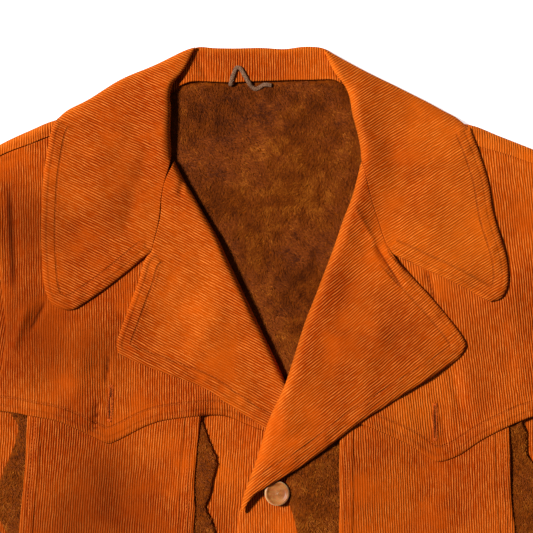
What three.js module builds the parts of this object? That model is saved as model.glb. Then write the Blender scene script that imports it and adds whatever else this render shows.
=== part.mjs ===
import * as THREE from "three";

// A corduroy jacket lined with brown pile, buttoned and laid flat on its back.
// Millimetres. +X is to the right of someone looking down on it, +Y is towards the collar and
// +Z is up. The origin lies under the middle of its outline, on the surface that it rests on.

// Walls of cloth
const LINED = 2.4; // corduroy on its backing: back, fronts and sleeves
const PATCH = 1.6; // corduroy laid on the fronts: yokes, panels, shoulders
const DOUBLE = 3; // collar and lapels: two cloths round an interlining
const PILE_LINING = 3.5;
const PILE_STRIP = 2.5;
const SEAM = 0.3; // air between two pieces, side by side or flat on each other
const AIR = 0.5; // under cloth that bends over a step

// Folds and laps
const ROLL = 6; // how far a rolled edge bulges past the cloth inside it
const TUCK = 6.8; // how far the cloth inside a roll stops short of its edge
const SHOULDER_ROLL = 5;
const PANEL_LAP = 8; // a panel's cover over the pile strip beside it
const ROLL_TURNS = 5; // flat facets from the top of a roll to its foot
const ROLL_LEAST = 2.3; // lowest roll, in walls, so that it never closes on its own wall
const STAND_TAB = 2; // the stand's own strip above its roll, beside the fall
const GORGE_GAP = 1.5; // between collar and lapel
const ARMHOLE_GAP = 0.5; // between sleeve and body

// How finely the shared edges are divided
const SIDE_STEPS = 12;
const ARMHOLE_STEPS = 11;
const FRONT_STEPS = 8;
const LAPEL_STEPS = 11;
const NECK_STEPS = 4;
const GORGE_STEPS = 5;
const TOP_STEPS = 9;
const STRIP_STEPS = 44;

// Buttons
const BUTTON = { radius: 10.25, thick: 3, rim: 0.7, rimWidth: 2, shankRadius: 2.4, shank: 1.6 };
const BUTTONS = { x: 5, top: 4.5, spacing: 123, count: 3 };

// Hanger loop, a flat cord sewn in at both ends
const LOOP_CORD = { width: 3.6, thick: 1.8 };

// How cloth falls from the edge of what it lies on
const FALL = 0.25; // height lost for each millimetre outside
const REST = 18; // it stays level for this far
const REST_WIDE = 32; // the same for cloth in wider cells
const HIGHEST = 30; // nothing lies higher than this
const CELL = 8; // spacing of the height map
const MAP_X = 504;
const MAP_Y = 400;

// Colours
const ORANGE = 0xb8541a;
const ORANGE_DEEP = 0xa84a16;
const BROWN = 0x5a3010;
const AMBER = 0xc9a878;
const BRAID = 0x6b5c50;

// Every table of an edge lists points along it. Columns: x, y.
const ARMHOLE_LEFT = [
  [-232, 283.5], [-228, 245], [-222, 204], [-219, 171],
  [-218, 142.5], [-222, 113.5], [-237, 90.5], [-261.5, 76.5],
];
const ARMHOLE_RIGHT = [
  [232, 277.5], [228, 240.5], [223, 199.5], [220, 168.5],
  [219, 140.5], [223, 112], [237, 89], [261.5, 74],
];
const SIDE_LEFT = [[-261.5, 76.5], [-260, -50.5], [-265, -214.5], [-268, -370]];
const SIDE_RIGHT = [[261.5, 74], [260, -50.5], [265, -214.5], [268, -370]];
const SHOULDER_LEFT = [
  [-232, 283.5], [-222, 289], [-199.5, 300], [-179.5, 308],
  [-164, 308.5], [-140, 322], [-107.5, 338], [-74.5, 351],
];
const SHOULDER_RIGHT = [
  [232, 277.5], [215, 284.5], [188, 293.5], [168, 298.5],
  [152, 299], [134, 310], [101.5, 328], [66.5, 344],
];
const SHOULDER_SEAM_LEFT = [[-229, 276], [-222, 281], [-200, 290], [-186, 296]];
const SHOULDER_SEAM_RIGHT = [[229, 269], [215, 274.5], [188, 284], [176, 287.5]];
const COLLAR_TOP_LEFT = [
  [-175.5, 312], [-168, 317.5], [-151.5, 326], [-124, 344],
  [-99, 354.5], [-69.5, 368], [-62.5, 369.5],
];
const COLLAR_TOP_RIGHT = [
  [163, 304.5], [152.5, 313], [142, 318.5], [117.5, 331.5], [91, 344], [65, 357], [44.5, 367],
];
const COLLAR_OUTER_LEFT = [
  [-168, 154], [-174.5, 156], [-181, 161], [-186.5, 176.5], [-188, 195.5],
  [-188.5, 225], [-187, 254], [-184, 281.5], [-180, 303], [-174, 308],
];
const COLLAR_OUTER_RIGHT = [
  [179.5, 161], [188, 163.5], [192, 168.5], [194.5, 176.5], [193.5, 195.5],
  [191, 206], [183.5, 231.5], [178, 262], [169.5, 287.5], [163, 300],
];
const COLLAR_LOWER_LEFT = [
  [-168, 154], [-160.5, 155], [-148.5, 162.5], [-136.5, 171], [-106.5, 195.5], [-98, 202],
];
const COLLAR_LOWER_RIGHT = [
  [98, 201.5], [127, 188], [142, 181], [159.5, 172], [171.5, 165], [179.5, 161],
];
const GORGE_LEFT = [
  [-98, 202], [-94, 217.5], [-91, 231], [-89.5, 247], [-87, 259.5], [-85, 270],
];
const GORGE_RIGHT = [[98, 201.5], [93, 214], [88, 228], [82.5, 245], [79, 259], [77, 270]];
const COLLAR_ROLL_LEFT = [
  [-82, 277], [-82.5, 302], [-82, 318.5], [-83, 330], [-80, 339], [-76.5, 344.5], [-70, 351.5],
];
const COLLAR_ROLL_RIGHT = [
  [74, 277.5], [73, 288], [70, 302.5], [66.5, 315.5],
  [64, 329], [59.5, 338], [53.5, 344], [49, 353],
];
const NECK_CORNER_LEFT = [-92, 338]; // where the fronts' shoulder meets their neck edge
const NECK_CORNER_RIGHT = [76, 332];
const LAPEL_OUTER_LEFT = [
  [-126, 120], [-127, 127], [-118, 152], [-109, 177.5], [-103, 194],
];
const LAPEL_LOWER_LEFT = [
  [-126, 120], [-122, 117], [-91, 104], [-53.5, 90], [-36.5, 78.5], [-3.5, 57],
];
const LAPEL_ROLL_LEFT = [
  [26, 45.5], [24, 72.5], [11.5, 97], [-10.5, 144], [-33, 190],
  [-42, 210.5], [-54, 231.5], [-63.5, 248], [-71.5, 261], [-79, 275],
];
const LAPEL_OUTER_RIGHT = [
  [158.5, 121], [160, 126], [158, 131], [146.5, 147], [133, 163.5], [111.5, 186.5], [101, 196],
];
const LAPEL_LOWER_RIGHT = [
  [-13.5, 3], [5, 15], [26.5, 27.5], [55, 49], [71.5, 62],
  [105, 84], [126.5, 97], [147, 110], [155, 116], [158.5, 121],
];
const LAPEL_ROLL_RIGHT = [
  [-27.5, -11], [-24, -3.5], [-19.5, 11], [-12.5, 30.5], [-5.5, 54.5], [-1, 67], [12.5, 97],
  [25.5, 138], [41, 178.5], [47.5, 195.5], [59.5, 229], [66.5, 247], [74, 275.5],
];
const YOKE_LOWER_LEFT = [
  [-260, 74], [-222, 71.5], [-199.5, 67.5], [-174, 66], [-158.5, 57], [-140, 46.5],
  [-133.5, 44.5], [-122, 47], [-101, 58.5], [-79.5, 65], [-56.5, 67.5], [-37, 69.5],
  [-22, 64.5], [-5, 57], [17, 47],
];
const YOKE_LOWER_RIGHT = [
  [1, 50.5], [15.5, 58], [36, 65], [52.5, 67], [71, 62], [91, 54.5], [112.5, 44.5],
  [130.5, 32], [138.5, 30.5], [152.5, 33], [169.5, 45.5], [193.5, 58.5], [215, 67], [260, 72],
];
const FRONT_EDGE_LEFT = [[27, -371], [27, -240], [27, -110], [26, 20]];
const FRONT_EDGE_RIGHT = [[-26.5, -371], [-26.5, -240], [-26.5, -110], [-26.5, -22]];
const PANEL_LEFT = {
  left: [
    [-215.5, -368.5], [-214, -247], [-210.5, -116], [-206.5, -26],
    [-202, 24], [-199.5, 67], [-197.5, 82.5],
  ],
  right: [
    [-66.5, -368.5], [-65, -247], [-63, -116], [-63, -26.5], [-62, -9.5],
    [-63, 9.5], [-61.5, 31.5], [-60, 46.5], [-57.5, 66], [-56, 81],
  ],
};
const PANEL_RIGHT = {
  left: [[57.5, -368.5], [56.5, -247], [56, -116], [56, -28.5], [56, 47], [56.5, 76.5]],
  right: [
    [212.5, -368.5], [210.5, -247], [206, -116], [201, -28.5], [197.5, -1],
    [195.5, 58.5], [194.5, 71],
  ],
};
const LINING_TOP = [
  [-206, 264], [-140, 299], [-95, 323], [-71, 339], [-54, 340], [-36.5, 339.5],
  [24, 341], [53, 342.3], [82, 318], [140, 287], [206, 258],
];
const LINING_LEFT = [
  [-244, -364], [-241, -214], [-237, -50], [-238, 50], [-215, 84], [-198, 112],
  [-194, 142], [-195, 171], [-199, 204], [-206, 264],
];
const LINING_RIGHT = [
  [244, -364], [241, -214], [237, -50], [238, 50], [215, 82], [198, 110],
  [194, 140], [195, 170], [199, 202], [206, 258],
];
const STAND_LOWER = [[-66, 341.6], [-54, 342], [-36.5, 341.6], [24, 343], [51.5, 343.8]];
const STAND_TOP = [[-58.5, 369], [-46, 368.5], [-9, 368], [10, 367.5], [28, 369.5], [37, 369]];
const BACK_FALL_LOWER = [
  [-169, 303], [-156.5, 292.5], [-119.5, 279], [-69.5, 272.5],
  [-1, 271], [65, 272], [101.5, 277], [142.5, 288], [159, 297],
];
const SLEEVE_OUTER = [
  [-476.5, -273.5], [-456, -83], [-432, 81], [-409, 138],
  [-370, 197], [-320.5, 245.5], [-271.5, 272.5], [-238, 287.5],
];
const SLEEVE_INNER = [[-333, -295], [-312.5, -173.5], [-288, -50.5], [-262.5, 76]];
const SLEEVE_RIGHT_DROP = 6; // the right shoulder lies this much lower
const LOOP_ROUTE = [
  [-33.5, 338.5], [-31, 347.5], [-28, 353.5], [-25.5, 353], [-21.5, 346.5],
  [-16, 338], [-12.5, 336], [-5.5, 339.5], [0.5, 339],
];

// The outer edges of the pile strips wave about a middle line.
// Columns: name, panel edge that covers the strip, side of it, middle, reach, period, crest.
const STRIPS_LEFT = [
  { name: "pile_strip_left_outer", seam: PANEL_LEFT.left, side: -1, middle: -218, reach: 10,
    period: 110, crest: 56 },
  { name: "pile_strip_left_inner", seam: PANEL_LEFT.right, side: 1, middle: -49, reach: 5.3,
    period: 74, crest: 29 },
];
const STRIPS_RIGHT = [
  { name: "pile_strip_right_inner", seam: PANEL_RIGHT.left, side: -1, middle: 18, reach: -5,
    period: 74, crest: -5 },
  { name: "pile_strip_right_outer", seam: PANEL_RIGHT.right, side: 1, middle: 217, reach: -8,
    period: 110, crest: 46 },
];

// Soft ridges where the cloth stands off its lining, from one end to the other.
// Columns: x and y of each end, height at the crest, width of the ridge.
const BODY_RIDGES = [
  { x1: -184, y1: 165, x2: -212, y2: 95, height: 2.4, width: 16 },
  { x1: -140, y1: 190, x2: -120, y2: -330, height: 3, width: 60 },
  { x1: 140, y1: 190, x2: 120, y2: -330, height: 3, width: 60 },
  { x1: -225, y1: 10, x2: -180, y2: -180, height: 2.2, width: 26 },
  { x1: 228, y1: 0, x2: 170, y2: -150, height: 2.4, width: 28 },
  { x1: -30, y1: -140, x2: -110, y2: -340, height: 2, width: 26 },
  { x1: 60, y1: -120, x2: 130, y2: -345, height: 2, width: 26 },
];
const SLEEVE_RIDGES = [
  { x1: -330, y1: 170, x2: -398, y2: -250, height: 7, width: 70 },
  { x1: -300, y1: 60, x2: -400, y2: 20, height: 2.4, width: 18 },
  { x1: -330, y1: -60, x2: -420, y2: -95, height: 2.6, width: 18 },
  { x1: -345, y1: -170, x2: -440, y2: -150, height: 2, width: 16 },
];

const reversed = (rows) => [...rows].reverse();
const mirrored = (rows, drop = 0) => rows.map(([x, y]) => [-x, y - drop]);

// The edge moved sideways, to the left of its direction where the distance is positive.
function moved(rows, distance) {
  return rows.map(([x, y], i) => {
    const [ax, ay] = rows[Math.max(i - 1, 0)];
    const [bx, by] = rows[Math.min(i + 1, rows.length - 1)];
    const length = Math.hypot(bx - ax, by - ay);
    return [x - ((by - ay) / length) * distance, y + ((bx - ax) / length) * distance];
  });
}

// Evenly spaced points on the smooth curve through the rows of a table, or a chain of such
// curves as it stands.
function along(rows, count) {
  if (rows[0].isVector3) return rows;
  const points = rows.map(([x, y]) => new THREE.Vector3(x, y, 0));
  return new THREE.CatmullRomCurve3(points, false, "centripetal").getSpacedPoints(count);
}

// Several tables joined end to end, each divided by itself. Where two meet, the second counts.
function chain(...links) {
  return links.flatMap(([rows, steps], k) => {
    const points = along(rows, steps);
    return k === links.length - 1 ? points : points.slice(0, -1);
  });
}

// The same curve, nudged so that it starts and ends where its neighbours do.
function fitted(points, start, end) {
  const startError = start.clone().sub(points[0]);
  const endError = end.clone().sub(points[points.length - 1]);
  return points.map((point, i) => {
    const t = i / (points.length - 1);
    return point.clone().addScaledVector(startError, 1 - t).addScaledVector(endError, t);
  });
}

// A grid of points filling the space between four edges, rows from low to high.
function patch({ low, high, left, right }, across, up) {
  const bottom = along(low, across);
  const top = along(high, across);
  const west = fitted(along(left, up), bottom[0], top[0]);
  const east = fitted(along(right, up), bottom[across], top[across]);
  return west.map((start, j) =>
    bottom.map((foot, i) => {
      const u = i / across;
      const v = j / up;
      const point = new THREE.Vector3();
      point.addScaledVector(foot, 1 - v).addScaledVector(top[i], v);
      point.addScaledVector(start, 1 - u).addScaledVector(east[j], u);
      point.addScaledVector(bottom[0], -(1 - u) * (1 - v));
      point.addScaledVector(bottom[across], -u * (1 - v));
      point.addScaledVector(top[0], -(1 - u) * v);
      point.addScaledVector(top[across], -u * v);
      return point;
    }),
  );
}

// Heights of whatever lies on the surface so far, on an even map.
class Relief {
  constructor(heights) {
    this.columns = (2 * MAP_X) / CELL + 1;
    this.rows = (2 * MAP_Y) / CELL + 1;
    this.heights = heights ?? new Float64Array(this.columns * this.rows).fill(-SEAM);
  }

  at(x, y) {
    const i = THREE.MathUtils.clamp((x + MAP_X) / CELL, 0, this.columns - 1.001);
    const j = THREE.MathUtils.clamp((y + MAP_Y) / CELL, 0, this.rows - 1.001);
    const i0 = Math.floor(i);
    const j0 = Math.floor(j);
    const height = (di, dj) => this.heights[(j0 + dj) * this.columns + i0 + di];
    const near = THREE.MathUtils.lerp(height(0, 0), height(1, 0), i - i0);
    const far = THREE.MathUtils.lerp(height(0, 1), height(1, 1), i - i0);
    return THREE.MathUtils.lerp(near, far, j - j0);
  }

  // The lowest that cloth can lie over these heights, falling away gently from each edge.
  draped(rest = REST) {
    const span = Math.ceil((rest + HIGHEST / FALL) / CELL);
    const heights = new Float64Array(this.heights.length);
    for (let j = 0; j < this.rows; j++) {
      for (let i = 0; i < this.columns; i++) {
        let highest = -Infinity;
        for (let dj = -span; dj <= span; dj++) {
          for (let di = -span; di <= span; di++) {
            const column = i + di;
            const row = j + dj;
            if (column < 0 || row < 0 || column >= this.columns || row >= this.rows) continue;
            const away = Math.max(0, Math.hypot(di, dj) * CELL - rest);
            const height = this.heights[row * this.columns + column] - FALL * away;
            highest = Math.max(highest, height);
          }
        }
        heights[j * this.columns + i] = highest;
      }
    }
    return new Relief(heights);
  }

  // These heights with a piece laid on them.
  cover(outline, topAt) {
    for (let j = 0; j < this.rows; j++) {
      for (let i = 0; i < this.columns; i++) {
        const x = i * CELL - MAP_X;
        const y = j * CELL - MAP_Y;
        if (distanceInside(outline, x, y) > -CELL / 2) {
          const index = j * this.columns + i;
          this.heights[index] = Math.max(this.heights[index], topAt(x, y));
        }
      }
    }
  }
}

// How far a place lies inside a closed outline, below zero outside it.
function distanceInside(outline, x, y) {
  let inside = false;
  let nearest = Infinity;
  outline.forEach((a, i) => {
    const b = outline[(i + 1) % outline.length];
    if (a.y > y !== b.y > y && x < ((b.x - a.x) * (y - a.y)) / (b.y - a.y) + a.x) {
      inside = !inside;
    }
    const length = (b.x - a.x) ** 2 + (b.y - a.y) ** 2;
    const reach = length ? ((x - a.x) * (b.x - a.x) + (y - a.y) * (b.y - a.y)) / length : 0;
    const t = THREE.MathUtils.clamp(reach, 0, 1);
    nearest = Math.min(nearest, Math.hypot(x - a.x - t * (b.x - a.x), y - a.y - t * (b.y - a.y)));
  });
  return inside ? nearest : -nearest;
}

function ridgeHeight(ridges, x, y) {
  return ridges.reduce((sum, { x1, y1, x2, y2, height, width }) => {
    const dx = x2 - x1;
    const dy = y2 - y1;
    const t = THREE.MathUtils.clamp(((x - x1) * dx + (y - y1) * dy) / (dx * dx + dy * dy), 0, 1);
    const away = Math.hypot(x - x1 - t * dx, y - y1 - t * dy);
    return sum + height * Math.exp(-((away / width) ** 2) * 2);
  }, 0);
}

// A closed solid between an outer and an inner grid of the same size.
function shell(outer, inner) {
  const rows = outer.length;
  const columns = outer[0].length;
  const positions = [...outer.flat(), ...inner.flat()].flatMap(({ x, y, z }) => [x, y, z]);
  const index = (side, j, i) => side * rows * columns + j * columns + i;
  const faces = [];
  const quad = (a, b, c, d) => faces.push(a, b, c, a, c, d);
  for (let j = 0; j < rows - 1; j++) {
    for (let i = 0; i < columns - 1; i++) {
      quad(index(0, j, i), index(0, j, i + 1), index(0, j + 1, i + 1), index(0, j + 1, i));
      quad(index(1, j, i), index(1, j + 1, i), index(1, j + 1, i + 1), index(1, j, i + 1));
    }
  }
  const east = columns - 1;
  const north = rows - 1;
  for (let i = 0; i < east; i++) {
    quad(index(0, 0, i + 1), index(0, 0, i), index(1, 0, i), index(1, 0, i + 1));
    quad(index(0, north, i), index(0, north, i + 1), index(1, north, i + 1), index(1, north, i));
  }
  for (let j = 0; j < north; j++) {
    quad(index(0, j, 0), index(0, j + 1, 0), index(1, j + 1, 0), index(1, j, 0));
    quad(index(0, j + 1, east), index(0, j, east), index(1, j, east), index(1, j + 1, east));
  }
  const geometry = new THREE.BufferGeometry();
  geometry.setAttribute("position", new THREE.Float32BufferAttribute(positions, 3));
  geometry.setIndex(faces);
  return volume(geometry) < 0 ? turned(geometry) : geometry;
}

function volume(geometry) {
  const position = geometry.getAttribute("position");
  const corner = (i) => new THREE.Vector3().fromBufferAttribute(position, geometry.index.getX(i));
  let sum = 0;
  for (let i = 0; i < geometry.index.count; i += 3) {
    sum += corner(i).dot(corner(i + 1).cross(corner(i + 2))) / 6;
  }
  return sum;
}

function turned(geometry) {
  const faces = [...geometry.index.array];
  for (let i = 0; i < faces.length; i += 3) {
    [faces[i + 1], faces[i + 2]] = [faces[i + 2], faces[i + 1]];
  }
  return geometry.setIndex(faces);
}

const jacket = new THREE.Group();

function add(name, geometry, color, roughness = 0.9) {
  const material = new THREE.MeshStandardMaterial({ color, roughness, metalness: 0 });
  geometry.computeVertexNormals();
  const mesh = new THREE.Mesh(geometry, material);
  mesh.name = name;
  jacket.add(mesh);
}

// The facets that carry an edge round a roll and under, down to the height low.
// The roll reaches out to the outline, less the inset.
function rolled(edge, outline, low, wall, inset) {
  return Array.from({ length: ROLL_TURNS }, (_, turn) => {
    const angle = ((turn + 1) * Math.PI) / ROLL_TURNS;
    return edge.map((start, k) => {
      const out = outline[k].clone().sub(start).setZ(0);
      const reach = out.length() - inset;
      const foot = Math.min(low(start.x, start.y), start.z - ROLL_LEAST * wall);
      const middle = (start.z + foot) / 2;
      const half = (start.z - foot) / 2 - inset;
      const point = start.clone().addScaledVector(out.normalize(), reach * Math.sin(angle));
      return point.setZ(middle + half * Math.cos(angle));
    });
  });
}

function extend(grid, side, strips) {
  if (side === "high") {
    grid.push(...strips);
    return;
  }
  grid.forEach((row, j) => {
    const points = strips.map((strip) => strip[j]);
    if (side === "left") row.unshift(...reversed(points));
    else row.push(...points);
  });
}

let relief = new Relief();

// Lays pieces side by side on what is there already.
// A piece has a name, four sides, a wall, its cells across and up, and any sides that roll.
function lay(pieces, { ridges = [], rest = REST } = {}) {
  const base = relief.draped(rest);
  const next = new Relief(relief.heights.slice());
  for (const { name, sides, wall, across, up, color, air = AIR, rolls = {} } of pieces) {
    const floor = (x, y) => base.at(x, y) + air + ridgeHeight(ridges, x, y);
    const plan = patch(sides, across, up);
    const inner = plan.map((row) => row.map(({ x, y }) => new THREE.Vector3(x, y, floor(x, y))));
    const outer = inner.map((row) => row.map(({ x, y, z }) => new THREE.Vector3(x, y, z + wall)));
    const brim = {
      low: outer[0].slice(),
      high: outer[up].slice(),
      left: outer.map((row) => row[0]),
      right: outer.map((row) => row[across]),
    };
    for (const [side, { edge, low }] of Object.entries(rolls)) {
      const outline = along(edge, side === "high" ? across : up);
      extend(inner, side, rolled(brim[side], outline, low, wall, wall));
      extend(outer, side, rolled(brim[side], outline, low, wall, 0));
      brim[side] = outline;
    }
    add(name, shell(outer, inner), color);
    const outline = [...brim.low, ...brim.right, ...reversed(brim.high), ...reversed(brim.left)];
    next.cover(outline, (x, y) => floor(x, y) + wall);
  }
  relief = next;
  return base;
}

const onFloor = () => 0;
const above = (base) => (x, y) => base.at(x, y) + AIR;

// The collar's fall behind the neck, under the back
function collarBack() {
  lay([
    {
      name: "collar_back", wall: DOUBLE, air: SEAM, across: 18, up: 3, color: ORANGE,
      sides: {
        low: BACK_FALL_LOWER,
        high: [
          ...moved(COLLAR_TOP_LEFT.slice(1, 6), -TUCK - SEAM),
          ...moved(STAND_TOP, -TUCK - SEAM),
          ...moved(reversed(COLLAR_TOP_RIGHT.slice(1, 6)), -TUCK - SEAM),
        ],
        left: [BACK_FALL_LOWER[0], [-164, 309]],
        right: [BACK_FALL_LOWER.at(-1), [150, 306]],
      },
    },
  ]);
}

// One sleeve's layer, lying beside the body
function sleeveSides(outer, inner, armhole, isLeft) {
  const inside = chain([inner, SIDE_STEPS], [reversed(armhole), ARMHOLE_STEPS]);
  const cuff = isLeft ? [outer[0], inner[0]] : [inner[0], outer[0]];
  const cap = isLeft ? [outer.at(-1), armhole[0]] : [armhole[0], outer.at(-1)];
  const [left, right] = isLeft ? [outer, inside] : [inside, outer];
  return { low: cuff, high: cap, left, right };
}
const SLEEVE_LEFT = sleeveSides(
  SLEEVE_OUTER, SLEEVE_INNER, moved(ARMHOLE_LEFT, -ARMHOLE_GAP), true);
const SLEEVE_RIGHT = sleeveSides(
  mirrored(SLEEVE_OUTER, SLEEVE_RIGHT_DROP), mirrored(SLEEVE_INNER, SLEEVE_RIGHT_DROP / 2),
  moved(ARMHOLE_RIGHT, ARMHOLE_GAP), false);

const BODY_LEFT = chain([reversed(SIDE_LEFT), SIDE_STEPS], [reversed(ARMHOLE_LEFT), ARMHOLE_STEPS]);
const BODY_RIGHT = chain(
  [reversed(SIDE_RIGHT), SIDE_STEPS], [reversed(ARMHOLE_RIGHT), ARMHOLE_STEPS]);
const BODY_STEPS = SIDE_STEPS + ARMHOLE_STEPS;

function backAndUnderSleeves() {
  lay([
    {
      name: "back", wall: LINED, air: SEAM, across: 13, up: BODY_STEPS, color: ORANGE_DEEP,
      sides: {
        low: [[-268, -370], [0, -372], [268, -370]],
        high: [...SHOULDER_LEFT, ...reversed(SHOULDER_RIGHT)],
        left: BODY_LEFT,
        right: BODY_RIGHT,
      },
    },
    {
      name: "sleeve_left_under", wall: LINED, air: SEAM, across: 3, up: BODY_STEPS,
      color: ORANGE_DEEP, sides: SLEEVE_LEFT,
    },
    {
      name: "sleeve_right_under", wall: LINED, air: SEAM, across: 3, up: BODY_STEPS,
      color: ORANGE_DEEP, sides: SLEEVE_RIGHT,
    },
  ], { rest: REST_WIDE });
}

function liningAndStand() {
  lay([
    {
      name: "back_lining", wall: PILE_LINING, across: 12, up: 6 + 11, color: BROWN,
      sides: {
        low: [[-244, -364], [244, -364]],
        high: LINING_TOP,
        left: chain([LINING_LEFT.slice(0, 4), 6], [LINING_LEFT.slice(3), 11]),
        right: chain([LINING_RIGHT.slice(0, 4), 6], [LINING_RIGHT.slice(3), 11]),
      },
    },
    {
      name: "collar_stand_back", wall: DOUBLE, across: 8, up: 1, color: ORANGE,
      sides: {
        low: STAND_LOWER,
        high: moved(STAND_TOP, -ROLL),
        left: [STAND_LOWER[0], [-59.5, 363]],
        right: [STAND_LOWER.at(-1), [37, 363]],
      },
      rolls: { high: { edge: STAND_TOP, low: onFloor } },
    },
  ]);
}

const NECK_LEFT = [...moved(COLLAR_ROLL_LEFT.slice(0, 4), TUCK), NECK_CORNER_LEFT];
const NECK_RIGHT = [...moved(COLLAR_ROLL_RIGHT.slice(0, 5), -TUCK), NECK_CORNER_RIGHT];
const INNER_SHOULDER_LEFT = [...moved(SHOULDER_LEFT, -TUCK).slice(0, -1), NECK_CORNER_LEFT];
const INNER_SHOULDER_RIGHT = [
  NECK_CORNER_RIGHT, ...moved(reversed(SHOULDER_RIGHT), -TUCK).slice(1)];

function frontLeft() {
  return lay(
    [
      {
        name: "front_left", wall: LINED, across: 11, up: BODY_STEPS, color: ORANGE,
        sides: {
          low: [[-268, -370], [-120, -372], [27, -371]],
          high: INNER_SHOULDER_LEFT,
          left: BODY_LEFT,
          right: chain(
            [FRONT_EDGE_LEFT, FRONT_STEPS], [moved(LAPEL_ROLL_LEFT, TUCK), LAPEL_STEPS],
            [NECK_LEFT, NECK_STEPS]),
        },
      },
    ],
    { ridges: BODY_RIDGES },
  );
}

function frontRight() {
  return lay(
    [
      {
        name: "front_right", wall: LINED, across: 11, up: BODY_STEPS, color: ORANGE,
        sides: {
          low: [[-26.5, -371], [120, -372], [268, -370]],
          high: INNER_SHOULDER_RIGHT,
          left: chain(
            [FRONT_EDGE_RIGHT, FRONT_STEPS], [moved(LAPEL_ROLL_RIGHT, -TUCK), LAPEL_STEPS],
            [NECK_RIGHT, NECK_STEPS]),
          right: BODY_RIGHT,
        },
      },
    ],
    { ridges: BODY_RIDGES },
  );
}

function upperSleeves() {
  const upper = (name, sides) => ({
    name, wall: LINED, across: 6, up: BODY_STEPS, color: ORANGE, sides,
  });
  lay([upper("sleeve_left_upper", SLEEVE_LEFT)], { ridges: SLEEVE_RIDGES });
  const mirroredRidges = SLEEVE_RIDGES.map((r) => ({ ...r, x1: -r.x1, x2: -r.x2 }));
  lay([upper("sleeve_right_upper", SLEEVE_RIGHT)], { ridges: mirroredRidges });
}

// A pile strip, from under its panel's edge out to its own waving edge
function strip({ name, seam, side, middle, reach, period, crest }) {
  const covered = moved(seam, side * PANEL_LAP);
  const foot = seam[0][1];
  const head = seam.at(-1)[1];
  const waving = Array.from({ length: STRIP_STEPS + 1 }, (_, k) => {
    const y = foot + ((head - foot) * k) / STRIP_STEPS;
    return [middle + reach * Math.cos((2 * Math.PI * (y - crest)) / period), y];
  });
  const [left, right] = side > 0 ? [covered, waving] : [waving, covered];
  const wide = Math.abs(left[0][0] - right[0][0]) > 30;
  return {
    name, wall: PILE_STRIP, across: wide ? 3 : 1, up: STRIP_STEPS, color: BROWN,
    sides: { low: [left[0], right[0]], high: [left.at(-1), right.at(-1)], left, right },
  };
}

function panel(name, { left, right }) {
  return {
    name, wall: PATCH, across: 6, up: 18, color: ORANGE,
    sides: { low: [left[0], right[0]], high: [left.at(-1), right.at(-1)], left, right },
  };
}

const yokeLeft = {
  name: "yoke_left", wall: PATCH, across: 16, up: LAPEL_STEPS, color: ORANGE,
  sides: {
    low: YOKE_LOWER_LEFT,
    high: INNER_SHOULDER_LEFT,
    left: reversed(ARMHOLE_LEFT),
    right: chain([moved(LAPEL_ROLL_LEFT, TUCK), LAPEL_STEPS - NECK_STEPS], [NECK_LEFT, NECK_STEPS]),
  },
};
const yokeRight = {
  name: "yoke_right", wall: PATCH, across: 16, up: LAPEL_STEPS, color: ORANGE,
  sides: {
    low: YOKE_LOWER_RIGHT,
    high: INNER_SHOULDER_RIGHT,
    left: chain(
      [moved(LAPEL_ROLL_RIGHT.slice(4), -TUCK), LAPEL_STEPS - NECK_STEPS],
      [NECK_RIGHT, NECK_STEPS]),
    right: reversed(ARMHOLE_RIGHT),
  },
};

// The back's cloth, brought over each shoulder to a seam on the front
function shoulder(name, seamRows, edge, base) {
  const seat = moved(edge, -SHOULDER_ROLL);
  return {
    name, wall: PATCH, across: 8, up: 1, color: ORANGE,
    sides: {
      low: seamRows, high: seat,
      left: [seamRows[0], seat[0]],
      right: [seamRows.at(-1), seat.at(-1)],
    },
    rolls: { high: { edge, low: above(base) } },
  };
}

function shoulders(base) {
  lay([
    shoulder("shoulder_left", SHOULDER_SEAM_LEFT, SHOULDER_LEFT.slice(0, 4), base),
    shoulder(
      "shoulder_right", reversed(SHOULDER_SEAM_RIGHT), reversed(SHOULDER_RIGHT.slice(0, 4)), base),
  ]);
}

function lapelLeft(base) {
  const gorge = moved(GORGE_LEFT, -GORGE_GAP);
  const seat = moved(LAPEL_ROLL_LEFT, ROLL);
  return {
    name: "lapel_left", wall: DOUBLE, across: 12, up: LAPEL_STEPS, color: ORANGE,
    sides: {
      low: [...LAPEL_LOWER_LEFT, seat[0]],
      high: [...gorge.slice(0, -1), seat.at(-1)],
      left: [...LAPEL_OUTER_LEFT, gorge[0]],
      right: seat,
    },
    rolls: { right: { edge: LAPEL_ROLL_LEFT, low: above(base) } },
  };
}

function lapelRight(base) {
  const gorge = moved(reversed(GORGE_RIGHT), -GORGE_GAP);
  const seat = moved(LAPEL_ROLL_RIGHT, -ROLL);
  return {
    name: "lapel_right", wall: DOUBLE, across: 12, up: LAPEL_STEPS, color: ORANGE,
    sides: {
      low: [seat[0], ...LAPEL_LOWER_RIGHT],
      high: [seat.at(-1), ...gorge.slice(1)],
      left: seat,
      right: [...LAPEL_OUTER_RIGHT, gorge.at(-1)],
    },
    rolls: { left: { edge: LAPEL_ROLL_RIGHT, low: above(base) } },
  };
}

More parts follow.
